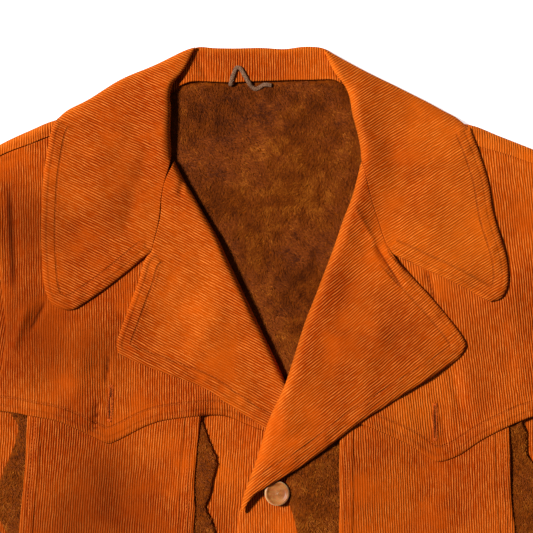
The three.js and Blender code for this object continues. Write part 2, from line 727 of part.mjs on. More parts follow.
// Each side of the collar: its fall, rolled over the top down to the surface, and beside it the
// stand, rolled inwards round the neck
function collarLeft(base) {
  const neck = (inset) => moved(COLLAR_ROLL_LEFT, ROLL + inset);
  const top = moved(COLLAR_TOP_LEFT, -ROLL);
  return [
    {
      name: "collar_left", wall: DOUBLE, across: TOP_STEPS, up: GORGE_STEPS + NECK_STEPS + 1,
      color: ORANGE,
      sides: {
        low: COLLAR_LOWER_LEFT,
        high: top,
        left: COLLAR_OUTER_LEFT,
        right: chain(
          [GORGE_LEFT, GORGE_STEPS], [neck(STAND_TAB + AIR), NECK_STEPS],
          [[neck(STAND_TAB + AIR).at(-1), top.at(-1)], 1]),
      },
      rolls: { high: { edge: COLLAR_TOP_LEFT, low: onFloor } },
    },
    {
      name: "collar_stand_left", wall: DOUBLE, across: 1, up: NECK_STEPS, color: ORANGE,
      sides: {
        low: [neck(STAND_TAB)[0], neck(0)[0]],
        high: [neck(STAND_TAB).at(-1), neck(0).at(-1)],
        left: neck(STAND_TAB),
        right: neck(0),
      },
      rolls: { right: { edge: COLLAR_ROLL_LEFT, low: above(base) } },
    },
  ];
}

function collarRight(base) {
  const neck = (inset) => moved(COLLAR_ROLL_RIGHT, -ROLL - inset);
  const edge = reversed(COLLAR_TOP_RIGHT);
  const top = moved(edge, -ROLL);
  return [
    {
      name: "collar_right", wall: DOUBLE, across: TOP_STEPS, up: GORGE_STEPS + NECK_STEPS + 1,
      color: ORANGE,
      sides: {
        low: COLLAR_LOWER_RIGHT,
        high: top,
        left: chain(
          [GORGE_RIGHT, GORGE_STEPS], [neck(STAND_TAB + AIR), NECK_STEPS],
          [[neck(STAND_TAB + AIR).at(-1), top[0]], 1]),
        right: COLLAR_OUTER_RIGHT,
      },
      rolls: { high: { edge, low: onFloor } },
    },
    {
      name: "collar_stand_right", wall: DOUBLE, across: 1, up: NECK_STEPS, color: ORANGE,
      sides: {
        low: [neck(0)[0], neck(STAND_TAB)[0]],
        high: [neck(0).at(-1), neck(STAND_TAB).at(-1)],
        left: neck(0),
        right: neck(STAND_TAB),
      },
      rolls: { left: { edge: COLLAR_ROLL_RIGHT, low: above(base) } },
    },
  ];
}

// Lathe-turned buttons with a raised rim and a shank, sewn down the middle of the front
function buttons() {
  const { radius, thick, rim, rimWidth, shankRadius } = BUTTON;
  for (let k = 0; k < BUTTONS.count; k++) {
    const y = BUTTONS.top - k * BUTTONS.spacing;
    const around = Array.from({ length: 12 }, (_, turn) => {
      const angle = (turn * Math.PI) / 6;
      return new THREE.Vector3(
        BUTTONS.x + radius * Math.cos(angle), y + radius * Math.sin(angle), 0);
    });
    const tops = around.map((spot) => relief.at(spot.x, spot.y));
    const foot = relief.at(BUTTONS.x, y) + AIR;
    const seat = Math.max(foot + BUTTON.shank, ...tops.map((top) => top + SEAM));
    const profile = [
      [0, foot], [shankRadius, foot], [shankRadius, seat], [radius - 1, seat],
      [radius, seat + 1], [radius, seat + thick - rim], [radius - rimWidth / 2, seat + thick],
      [radius - rimWidth, seat + thick - rim], [0, seat + thick - rim],
    ].map(([r, z]) => new THREE.Vector2(r, z));
    const geometry = new THREE.LatheGeometry(profile, 16);
    geometry.rotateX(Math.PI / 2);
    geometry.translate(BUTTONS.x, y, 0);
    add("button_" + (k + 1), geometry, AMBER, 0.35);
    relief.cover(around, () => seat + thick);
  }
}

function hangerLoop() {
  const { width, thick } = LOOP_CORD;
  const route = along(LOOP_ROUTE, 18);
  const base = relief.draped();
  route.forEach((point) => point.setZ(base.at(point.x, point.y) + SEAM + thick / 2));
  const section = new THREE.Shape();
  section.absellipse(0, 0, thick / 2, width / 2, 0, 2 * Math.PI);
  const extrudePath = new THREE.CatmullRomCurve3(route);
  const options = { steps: 26, curveSegments: 3, bevelEnabled: false, extrudePath };
  add("hanger_loop", new THREE.ExtrudeGeometry(section, options), BRAID);
}

collarBack();
backAndUnderSleeves();
liningAndStand();
upperSleeves();
const underLeft = frontLeft();
lay(STRIPS_LEFT.map(strip));
lay([panel("panel_left", PANEL_LEFT)], { rest: REST_WIDE });
lay([yokeLeft]);
lay([lapelLeft(underLeft), ...collarLeft(underLeft)]);
const underRight = frontRight();
lay(STRIPS_RIGHT.map(strip));
lay([panel("panel_right", PANEL_RIGHT)], { rest: REST_WIDE });
lay([yokeRight]);
shoulders(underLeft);
buttons();
lay([lapelRight(underRight), ...collarRight(underRight)]);
hangerLoop();

export default jacket;
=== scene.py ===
"""A corduroy jacket lined with brown pile, buttoned and laid flat, seen from straight above.

Tables are in millimetres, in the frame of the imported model: +X to the viewer's right, +Y towards
the collar, +Z up. Every mesh is made in millimetres too and turned into metres when it is built.
"""

import math

import bpy
import numpy as np
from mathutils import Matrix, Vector
from mathutils.bvhtree import BVHTree


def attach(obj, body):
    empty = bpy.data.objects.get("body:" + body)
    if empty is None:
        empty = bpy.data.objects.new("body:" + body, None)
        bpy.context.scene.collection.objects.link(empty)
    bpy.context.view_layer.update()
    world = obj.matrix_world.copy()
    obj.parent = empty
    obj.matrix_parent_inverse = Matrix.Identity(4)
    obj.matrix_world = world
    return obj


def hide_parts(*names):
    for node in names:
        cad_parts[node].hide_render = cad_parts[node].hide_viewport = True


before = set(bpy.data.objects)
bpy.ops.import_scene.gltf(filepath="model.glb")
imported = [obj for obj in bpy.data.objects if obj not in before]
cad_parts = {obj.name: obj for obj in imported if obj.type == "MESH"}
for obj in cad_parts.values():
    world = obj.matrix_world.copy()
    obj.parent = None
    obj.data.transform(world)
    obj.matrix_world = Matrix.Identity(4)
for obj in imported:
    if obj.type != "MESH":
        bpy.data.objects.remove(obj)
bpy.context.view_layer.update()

MM = 0.001

# Walls of cloth
LINED = 2.4
PATCH = 1.6
DOUBLE = 3.2
LINING = 3.5
STRIP = 2.5

GAP = 0.25  # air between two layers
GORGE_GAP = 0.15  # between a lapel and its collar
FAR = 60.0  # where an edge has no more effect
ROLL = 6.0  # how far a rolled edge takes to turn down
WALE = 1.97  # from one rib of the corduroy to the next
TOPSTITCH = 12.0  # from an edge to its row of stitches
STITCH = 3.1  # from one stitch to the next
STITCH_LONG = 2.3
STITCH_THICK = 0.5
RIB_HEIGHT = 0.5
SEAM_RIDGE = 5.0  # from an edge to where its seam allowance ends
STRAND_WIDE = 0.46

# Map of heights, which each layer is laid on
CELL = 2.0
MAP_X = 504.0
MAP_Y = 400.0
EDGE_ROWS = (0, 0.5, 1.2, 2.25)  # how far inside an edge the first rows of points lie
SETTLING = 40  # rounds of relaxing for each layer
SLACK = 0.6  # how far below its solid's form a layer starts

# Waves in the cloth. Columns: wavelength, seed.
WOBBLE_X = (26, 3)
WOBBLE_Y = (26, 4)
BILLOWS = (38, 11)
RIPPLES = (15, 12)
PUCKERS = (6.5, 21)

# How cloth ends
THINNED = 0.6  # share of the wall that an edge or a trough takes off
EDGE_REACH = 1.6  # of the rounding, wear and painted highlight at a cut edge
# Cut and rolled edges are paler: partly wear of the pile, partly a painted highlight
EDGE_WEAR_AND_HIGHLIGHT = 0.55
ROLL_WEAR_AND_HIGHLIGHT_REACH = 3.6
PRESSED_REACH = 7  # over which a pressed edge thins out

# Where the cloth is darker or paler: partly the nap, partly painted shade and painted light that follow
# how the light falls. Columns: x, y, radius, change.
NAP_AND_PAINTED_LIGHT = [
    (-190, 125, 46, -0.24), (-196, 225, 38, -0.3), (-138, 118, 24, -0.2), (-142, -5, 48, -0.24),
    (-185, -60, 90, -0.16), (-120, -200, 110, -0.14), (-212, 158, 26, -0.12), (63, 105, 34, -0.08),
    (-38, 132, 30, 0.1), (98, 322, 26, 0.12), (165, 285, 30, 0.1), (-138, 324, 26, 0.08),
    (-140, 26, 22, -0.1), (120, -230, 130, -0.16), (0, -250, 60, -0.14), (-395, -40, 90, -0.18),
    (-330, 160, 60, -0.12), (390, -150, 110, -0.2), (330, 150, 60, -0.12), (-112, 266, 13, -0.12),
    (-121, 245, 15, -0.15), (-129, 224, 14, -0.12), (-112, 300, 40, -0.1), (-40, 60, 50, 0.04),
    (-30, 5, 34, 0.1), (-8, -40, 60, 0.06), (160, 225, 44, 0.16), (115, 290, 50, 0.02),
    (200, 95, 44, 0.1), (120, 60, 46, 0.1), (150, 130, 40, 0.12), (205, 190, 50, 0.04),
    (215, 275, 34, 0.06), (-215, 285, 34, 0.08), (110, -10, 60, -0.06), (40, 50, 50, -0.06),
    (95, 200, 24, 0.06), (20, 360, 60, 0.08), (-185, 30, 30, 0.06), (40, 170, 40, -0.05),
    (150, 195, 36, 0.1), (106, 68, 30, 0.16), (-30, 20, 36, 0.08), (135, 300, 30, 0.06),
]

# Edges, each from one end to the other. Columns: x, y.
ARMHOLE_LEFT = [
    (-232, 285), (-228, 245), (-224.5, 204), (-220.5, 168), (-218, 146),
    (-219, 126), (-222.5, 104), (-236, 86), (-261.5, 76.5),
]
ARMHOLE_RIGHT = [
    (232, 279.5), (228, 240.5), (223, 199.5), (220, 168.5),
    (219, 140.5), (223, 112), (237, 89), (261.5, 74),
]
SIDE_LEFT = [(-261.5, 76.5), (-260, -50.5), (-265, -214.5), (-268, -370)]
SIDE_RIGHT = [(261.5, 74), (260, -50.5), (265, -214.5), (268, -370)]
SHOULDER_LEFT = [
    (-232, 285), (-222, 290.5), (-199.5, 301.5), (-179.5, 310),
    (-164, 313), (-140, 322), (-107.5, 338), (-74.5, 351),
]
SHOULDER_RIGHT = [
    (232, 279.5), (215, 286.5), (188, 297.5), (168, 306),
    (152, 309), (134, 313), (101.5, 328), (66.5, 344),
]
SHOULDER_SEAM_LEFT = [(-229, 276), (-222, 281), (-200, 290), (-186, 296)]
SHOULDER_SEAM_RIGHT = [(229, 269), (215, 274.5), (188, 284), (176, 287.5)]
COLLAR_TOP_LEFT = [
    (-175.5, 312), (-168, 318.5), (-151.5, 327), (-124, 344),
    (-99, 354.5), (-69.5, 369), (-62.5, 371),
]
COLLAR_TOP_RIGHT = [
    (163, 304.5), (152.5, 313), (142, 318.5), (117.5, 331.5), (91, 344), (65, 358), (42.5, 370),
]
COLLAR_OUTER_LEFT = [
    (-168, 154), (-174.5, 156), (-181, 161), (-186.5, 176.5), (-188, 195.5),
    (-188.5, 225), (-187, 254), (-184, 281.5), (-180, 303), (-175.5, 312),
]
COLLAR_OUTER_RIGHT = [
    (179.5, 161), (188, 163.5), (192, 168.5), (194.5, 176.5), (193.5, 195.5),
    (191, 206), (183.5, 231.5), (178, 262), (169.5, 287.5), (163, 304.5),
]
COLLAR_LOWER_LEFT = [
    (-168, 154), (-160.5, 155), (-148.5, 162.5), (-136.5, 171), (-106.5, 195.5), (-98, 202),
]
COLLAR_LOWER_RIGHT = [
    (98, 201.5), (127, 188), (142, 181), (159.5, 172), (171.5, 165), (179.5, 161),
]
GORGE_LEFT = [(-98, 202), (-94, 217.5), (-91, 231), (-89.5, 247), (-87, 259.5), (-82, 277)]
GORGE_RIGHT = [(98, 201.5), (93, 214), (88, 228), (82.5, 245), (79, 259), (74, 277.5)]
COLLAR_ROLL_LEFT = [
    (-82, 277), (-82.5, 302), (-82, 318.5), (-83, 330), (-81, 338), (-72.5, 348), (-62.5, 364.5),
]
COLLAR_ROLL_RIGHT = [
    (74, 277.5), (73, 288), (70, 302.5), (66.5, 315.5),
    (64, 329), (59.5, 338), (53.5, 344), (42.5, 361),
]
LAPEL_OUTER_LEFT = [(-126, 120), (-127, 127), (-118, 152), (-109, 177.5), (-103, 195.5), (-97.5, 201)]
LAPEL_LOWER_LEFT = [
    (-126, 120), (-122, 117), (-91, 104), (-53.5, 90), (-36.5, 78.5), (-3.5, 57), (26, 43),
]
LAPEL_ROLL_LEFT = [
    (26, 43), (24, 72.5), (11.5, 97), (-10.5, 144), (-33, 190),
    (-42, 210.5), (-54, 231.5), (-63.5, 248), (-71.5, 261), (-79, 276),
]
LAPEL_OUTER_RIGHT = [
    (158.5, 121), (160, 126), (158, 131), (146.5, 147), (133, 163.5), (111.5, 186.5), (98, 200.5),
]
LAPEL_LOWER_RIGHT = [
    (-24, -11.5), (-13.5, 3), (5, 15), (26.5, 27.5), (55, 49), (71.5, 62),
    (105, 84), (126.5, 97), (147, 110), (155, 116), (158.5, 121),
]
LAPEL_ROLL_RIGHT = [
    (-24, -11.5), (-24, -3.5), (-19.5, 11), (-12.5, 30.5), (-5.5, 54.5), (-1, 67), (12.5, 97),
    (25.5, 138), (41, 178.5), (47.5, 195.5), (59.5, 229), (66.5, 247), (74, 276.5),
]
YOKE_LOWER_LEFT = [
    (-261.5, 76.5), (-222, 71.5), (-199.5, 68.5), (-174, 63.5), (-158.5, 57), (-148, 51.5),
    (-138, 46.5), (-133.8, 44.8), (-129.5, 46), (-119, 51), (-106, 58), (-93, 63),
    (-79.5, 65.5), (-56.5, 67.5), (-43.5, 67.7), (-33.6, 66), (-20, 60.3), (-6.6, 55.4),
    (17, 47),
]
YOKE_LOWER_RIGHT = [
    (1, 50.5), (15.5, 58), (36, 65), (52.5, 67), (71, 62), (91, 54.5), (112.5, 44.5),
    (128, 34), (135.5, 30.2), (140, 30.4), (154, 35.5), (170, 46), (193.5, 58.5), (215, 67),
    (261.5, 74),
]
FRONT_EDGE_LEFT = [(27, -371), (27, -240), (27, -110), (26, 20), (24, 72.5)]
FRONT_EDGE_RIGHT = [(-27, -371), (-27, -240), (-27, -110), (-27, -22), (-24.5, -7)]
PANEL_LEFT = {
    "left": [
        (-215.5, -368.5), (-214, -247), (-210.5, -116), (-206.5, -26),
        (-202, 24), (-199.5, 67), (-197.5, 82.5),
    ],
    "right": [
        (-66.5, -368.5), (-65, -247), (-63, -116), (-63, -26.5), (-62, -9.5),
        (-63, 9.5), (-61.5, 31.5), (-60, 46.5), (-57.5, 66), (-56, 81),
    ],
}
PANEL_RIGHT = {
    "left": [(57.5, -368.5), (56.5, -247), (56, -116), (56, -28.5), (56, 47), (56.5, 76.5)],
    "right": [
        (212.5, -368.5), (210.5, -247), (206, -116), (201, -28.5), (197.5, -1),
        (195.5, 58.5), (194.5, 71),
    ],
}
LINING_TOP = [
    (-206, 264), (-140, 299), (-95, 323), (-71, 339), (-54, 341.5), (-36.5, 341),
    (24, 342.5), (53, 343.5), (82, 318), (140, 287), (206, 258),
]
LINING_LEFT = [
    (-244, -364), (-241, -214), (-237, -50), (-238, 50), (-215, 84), (-198, 112),
    (-194, 142), (-195, 171), (-199, 204), (-206, 264),
]
LINING_RIGHT = [
    (244, -364), (241, -214), (237, -50), (238, 50), (215, 82), (198, 110),
    (194, 140), (195, 170), (199, 202), (206, 258),
]
STAND_LOWER = [(-76, 338), (-66, 341.6), (-54, 342), (-36.5, 341.6), (24, 343), (51.5, 343.8), (58, 341)]
STAND_TOP = [(-62, 371), (-46, 370.5), (-9, 370), (10, 369.5), (28, 371.5), (43, 370)]
BACK_FALL_LOWER = [
    (-169, 303), (-156.5, 292.5), (-119.5, 279), (-69.5, 272.5),
    (-1, 271), (65, 272), (101.5, 277), (142.5, 288), (159, 297),
]
SLEEVE_OUTER = [
    (-476.5, -273.5), (-456, -83), (-432, 81), (-409, 138),
    (-370, 197), (-320.5, 245.5), (-271.5, 272.5), (-238, 287.5),
]
SLEEVE_INNER = [(-333, -295), (-312.5, -173.5), (-288, -50.5), (-262, 75.5)]
SLEEVE_RIGHT_DROP = 6
LOOP_ROUTE = [
    (-33.5, 338.5), (-31, 347.5), (-28, 353.5), (-25.5, 353), (-21.5, 346.5),
    (-16, 338), (-12.5, 336), (-5.5, 339.5), (0.5, 339),
]


# Curves and grids, all in the plane

def smooth_curve(rows, count):
    """Evenly spaced points on the smooth curve through the rows."""
    points = np.array(rows, float)
    if len(points) == 2:
        dense = points
    else:
        ends = np.vstack([2 * points[0] - points[1], points, 2 * points[-1] - points[-2]])
        pieces = []
        for a, b, c, d in zip(ends, ends[1:], ends[2:], ends[3:]):
            knots = np.cumsum([0.0] + [max(math.dist(p, q), 1e-6) ** 0.5
                                       for p, q in ((a, b), (b, c), (c, d))])
            t = np.linspace(knots[1], knots[2], 16, endpoint=False)[:, None]
            mix = lambda p, q, t0, t1: ((t1 - t) * p + (t - t0) * q) / (t1 - t0)
            k0, k1, k2, k3 = knots
            ab, bc, cd = mix(a, b, k0, k1), mix(b, c, k1, k2), mix(c, d, k2, k3)
            pieces.append(mix(mix(ab, bc, k0, k2), mix(bc, cd, k1, k3), k1, k2))
        dense = np.vstack(pieces + [points[-1:]])
    return spaced(dense, np.linspace(0, 1, count + 1))


def spaced(dense, fractions):
    """Points at these fractions of a polyline's length."""
    steps = np.linalg.norm(np.diff(dense, axis=0), axis=1)
    run = np.concatenate([[0], np.cumsum(steps)])
    at = np.asarray(fractions) * run[-1]
    return np.column_stack([np.interp(at, run, dense[:, k]) for k in range(2)])


def length_of(rows):
    """Millimetres along a polyline."""
    return float(np.linalg.norm(np.diff(np.array(rows, float), axis=0), axis=1).sum())


def moved(rows, distance):
    """The edge moved sideways, to the left of its direction where the distance is positive."""
    points = np.array(rows, float)
    along = np.gradient(points, axis=0)
    along /= np.linalg.norm(along, axis=1)[:, None]
    return [tuple(p) for p in points + distance * np.column_stack([-along[:, 1], along[:, 0]])]


def mirrored(rows, drop):
    """The edge on the other side of the jacket, a little lower."""
    return [(-x, y - drop) for x, y in rows]


def rows_between(length, step):
    """Fractions of a side's length, closer together near both of its ends."""
    near = np.array(EDGE_ROWS)
    count = max(2, int(round((length - 2 * near[-1]) / step)))
    middle = np.linspace(near[-1], length - near[-1], count + 1)
    return np.concatenate([near[:-1], middle, (length - near[:-1])[::-1]]) / length


def coons(low, high, left, right, step):
    """A grid of points between four edges, rows from low to high, and the fractions along it."""
    low, high, left, right = (smooth_curve(side, 400) for side in (low, high, left, right))
    across = rows_between(max(length_of(low), length_of(high)), step)
    up = rows_between(max(length_of(left), length_of(right)), step)
    low, high = spaced(low, across), spaced(high, across)
    left, right = spaced(left, up), spaced(right, up)

    def fitted(side, start, end):
        near = ((1 - up) ** 8)[:, None]
        far = (up ** 8)[:, None]
        return side + near * (start - side[0]) + far * (end - side[-1])

    left = fitted(left, low[0], high[0])
    right = fitted(right, low[-1], high[-1])
    u = across[None, :, None]
    v = up[:, None, None]
    grid = (1 - v) * low[None] + v * high[None] + (1 - u) * left[:, None] + u * right[:, None]
    grid -= (1 - u) * (1 - v) * low[0] + u * (1 - v) * low[-1]
    grid -= (1 - u) * v * high[0] + u * v * high[-1]
    return grid


def distance_to(points, line):
    """From each point to a polyline."""
    line = np.asarray(line, float)
    shape = points.shape[:-1]
    flat = points.reshape(-1, 2)
    nearest = np.full(len(flat), np.inf)
    for a, b in zip(line, line[1:]):
        along = b - a
        t = np.clip(((flat - a) @ along) / max(along @ along, 1e-9), 0, 1)
        away = flat - a - t[:, None] * along
        nearest = np.minimum(nearest, (away ** 2).sum(1))
    return np.sqrt(nearest).reshape(shape)


def beside(points, line):
    """From each point to a polyline, or far where the point lies past one of its ends."""
    near = distance_to(points, line)
    for end, before in ((line[0], line[2]), (line[-1], line[-3])):
        onward = end + FAR * (end - before) / np.linalg.norm(end - before)
        near = np.where(distance_to(points, np.array([end, onward])) < near, FAR, near)
    return near


def inside(points, outline):
    """Whether each point lies inside a closed outline."""
    x, y = points[..., 0], points[..., 1]
    within = np.zeros(x.shape, bool)
    for (ax, ay), (bx, by) in zip(outline, np.roll(outline, -1, axis=0)):
        if ay != by:
            within ^= ((ay > y) != (by > y)) & (x < (bx - ax) * (y - ay) / (by - ay) + ax)
    return within


NOISE_CELLS = 96
NOISE_START = (41.3, 17.9)


def soft_noise(points, wavelength, seed):
    """Between -1 and 1, with waves of about this length, the same for every piece."""
    table = np.random.default_rng(seed).uniform(-1, 1, (NOISE_CELLS, NOISE_CELLS))
    px, py = (points[..., k] / wavelength + NOISE_START[k] for k in range(2))
    ix, iy = np.floor(px).astype(int), np.floor(py).astype(int)
    fx, fy = px - ix, py - iy
    fx, fy = fx * fx * (3 - 2 * fx), fy * fy * (3 - 2 * fy)
    pick = lambda i, j: table[(iy + j) % NOISE_CELLS, (ix + i) % NOISE_CELLS]
    low = pick(0, 0) * (1 - fx) + pick(1, 0) * fx
    high = pick(0, 1) * (1 - fx) + pick(1, 1) * fx
    return low * (1 - fy) + high * fy


# Heights of what lies there already

COLUMNS = int(2 * MAP_X / CELL) + 1
ROWS = int(2 * MAP_Y / CELL) + 1
MAP_POINTS = np.stack(np.meshgrid(
    np.arange(COLUMNS) * CELL - MAP_X, np.arange(ROWS) * CELL - MAP_Y), axis=-1)
laid = np.full((ROWS, COLUMNS), -GAP)


def sample(heights, points):
    """Heights of the map at these points."""
    i = np.clip((points[..., 0] + MAP_X) / CELL, 0, COLUMNS - 1.001)
    j = np.clip((points[..., 1] + MAP_Y) / CELL, 0, ROWS - 1.001)
    i0, j0 = i.astype(int), j.astype(int)
    u, v = i - i0, j - j0
    low = heights[j0, i0] * (1 - u) + heights[j0, i0 + 1] * u
    high = heights[j0 + 1, i0] * (1 - u) + heights[j0 + 1, i0 + 1] * u
    return low * (1 - v) + high * v


def spread(heights):
    """Each cell raised to its highest neighbour."""
    wide = np.pad(heights, 1, mode="edge")
    shifts = [wide[j:j + heights.shape[0], i:i + heights.shape[1]]
              for j in range(3) for i in range(3)]
    return np.maximum.reduce(shifts)


def blurred(heights, mask):
    """Each cell the mean of its neighbours within the mask."""
    known = np.pad(np.where(mask, heights, 0.0), 1)
    count = np.pad(mask.astype(float), 1)
    total = weight = 0.0
    for j, i in ((0, 1), (2, 1), (1, 0), (1, 2), (1, 1)):
        total = total + known[j:j + mask.shape[0], i:i + mask.shape[1]]
        weight = weight + count[j:j + mask.shape[0], i:i + mask.shape[1]]
    return np.where(mask, total / np.maximum(weight, 1), heights)


def surface(mesh):
    """A mesh as a tree that rays can be cast at."""
    return BVHTree.FromPolygons([v.co.copy() for v in mesh.vertices],
                                [tuple(face.vertices) for face in mesh.polygons])


def height_on(tree, x, y):
    """Millimetres above the floor of a surface's upper side, or nothing beside it."""
    hit = tree.ray_cast(Vector((x * MM, y * MM, 0.2)), Vector((0, 0, -1)))[0]
    return None if hit is None else hit.z / MM


def solid_top(node, points):
    """Highest point of a solid above each place, or not a number where it isn't."""
    tree = surface(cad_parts[node].data)
    tops = [height_on(tree, *point) for point in points]
    return np.array([np.nan if top is None else top for top in tops], float)


def ridge(points, x1, y1, x2, y2, height, width):
    """A soft ridge, or a trough where its height is below zero, that dies away at its ends."""
    start, along = np.array([x1, y1]), np.array([x2 - x1, y2 - y1])
    raw = ((points - start) @ along) / (along @ along)
    t = np.clip(raw, 0, 1)
    away = points - start - t[..., None] * along
    across = np.linalg.norm(away, axis=-1) / width
    lengthwise = np.clip(np.minimum(t, 1 - t) / 0.25, 0.0, 1.0)
    lengthwise = lengthwise * lengthwise * (3 - 2 * lengthwise)
    return height * np.exp(-2 * across ** 2) * lengthwise


def drape(base, nodes, outline, wall, sag):
    """Heights of the underside of cloth laid on the base, near the form of its solids."""
    region = inside(MAP_POINTS, outline)
    region = spread(spread(region.astype(float))) > 0
    j, i = np.nonzero(region)
    j0, j1, i0, i1 = j.min(), j.max() + 1, i.min(), i.max() + 1
    window = (slice(j0, j1), slice(i0, i1))
    mask = region[window]
    floor = spread(base)[window] + GAP
    places = MAP_POINTS[window]
    coarse = np.zeros(mask.shape, bool)
    coarse[::2, ::2] = mask[::2, ::2]
    tops = np.full(mask.shape, np.nan)
    for node in nodes:
        found = np.full(mask.shape, np.nan)
        found[coarse] = solid_top(node, places[coarse])
        tops = np.fmax(tops, found)
    known = ~np.isnan(tops)
    form = np.where(known, tops - wall, 0.0)
    weight = known.astype(float)
    for _ in range(3):
        total, share = blurred(form * weight, mask), blurred(weight, mask)
        form = np.where(share > 0, total / np.maximum(share, 1e-9), form)
        weight = (share > 0).astype(float)
    for _ in range(6):
        form = blurred(form, mask)
    heights = np.maximum(floor, form - SLACK)
    for _ in range(SETTLING):
        heights = np.maximum(floor, blurred(heights, mask) - sag)
    full = np.zeros(laid.shape)
    full[window] = heights
    return full


# Building meshes

def linked(name, data):
    """A new object in the scene."""
    made = bpy.data.objects.new(name, data)
    bpy.context.collection.objects.link(made)
    return made


def mesh_object(name, points, faces, material):
    """A piece from points in millimetres."""
    data = bpy.data.meshes.new(name)
    data.from_pydata((np.asarray(points) * MM).tolist(), [], [tuple(f) for f in faces])
    data.polygons.foreach_set("use_smooth", [True] * len(data.polygons))
    data.materials.append(material)
    piece = linked(name, data)
    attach(piece, "root")
    return piece


def give_values(piece, name, values):
    """A number for each point of the mesh, for the materials to read."""
    layer = piece.data.attributes.new(name, "FLOAT", "POINT")
    layer.data.foreach_set("value", np.asarray(values, float))


def closed_sheet(name, plan, tops, bottoms, material):
    """A closed mesh between two height fields over one grid, which meet at its brim."""
    rows, columns = plan.shape[:2]
    upper = np.dstack([plan, tops]).reshape(-1, 3)
    index = np.arange(rows * columns).reshape(rows, columns)
    interior = np.zeros((rows, columns), bool)
    interior[1:-1, 1:-1] = True
    lower_index = index.copy()
    lower_index[interior] = rows * columns + np.arange(interior.sum())
    lower = np.dstack([plan, bottoms])[interior]

    def quads(at):
        corners = [at[:-1, :-1], at[:-1, 1:], at[1:, 1:], at[1:, :-1]]
        return np.stack(corners, axis=-1).reshape(-1, 4)

    faces = np.vstack([quads(index), quads(lower_index)[:, ::-1]])
    piece = mesh_object(name, np.vstack([upper, lower]), faces.tolist(), material)
    return piece, np.concatenate([np.arange(rows * columns), index[interior]])


def give_cut(piece, cut):
    """UVs that hold each point's place on the flat cloth, in metres."""
    mesh = piece.data
    layer = mesh.uv_layers.new(name="cut")
    corners = np.empty(len(mesh.loops), int)
    mesh.loops.foreach_get("vertex_index", corners)
    layer.data.foreach_set("uv", cut[corners].ravel())


def flat_cut(plan, ribs):
    """Across the ribs and along them, in metres."""
    c, s = math.cos(math.radians(ribs)), math.sin(math.radians(ribs))
    x, y = plan[..., 0] * MM, plan[..., 1] * MM
    return np.stack([-x * s + y * c, x * c + y * s], axis=-1)


def down_turn(distance, reach):
    """From 1 at an edge to 0 at its reach, round like a quarter circle."""
    near = 1 - np.clip(distance / reach, 0, 1)
    return 1 - np.sqrt(np.clip(1 - near * near, 0, 1))


SHEETS = {}


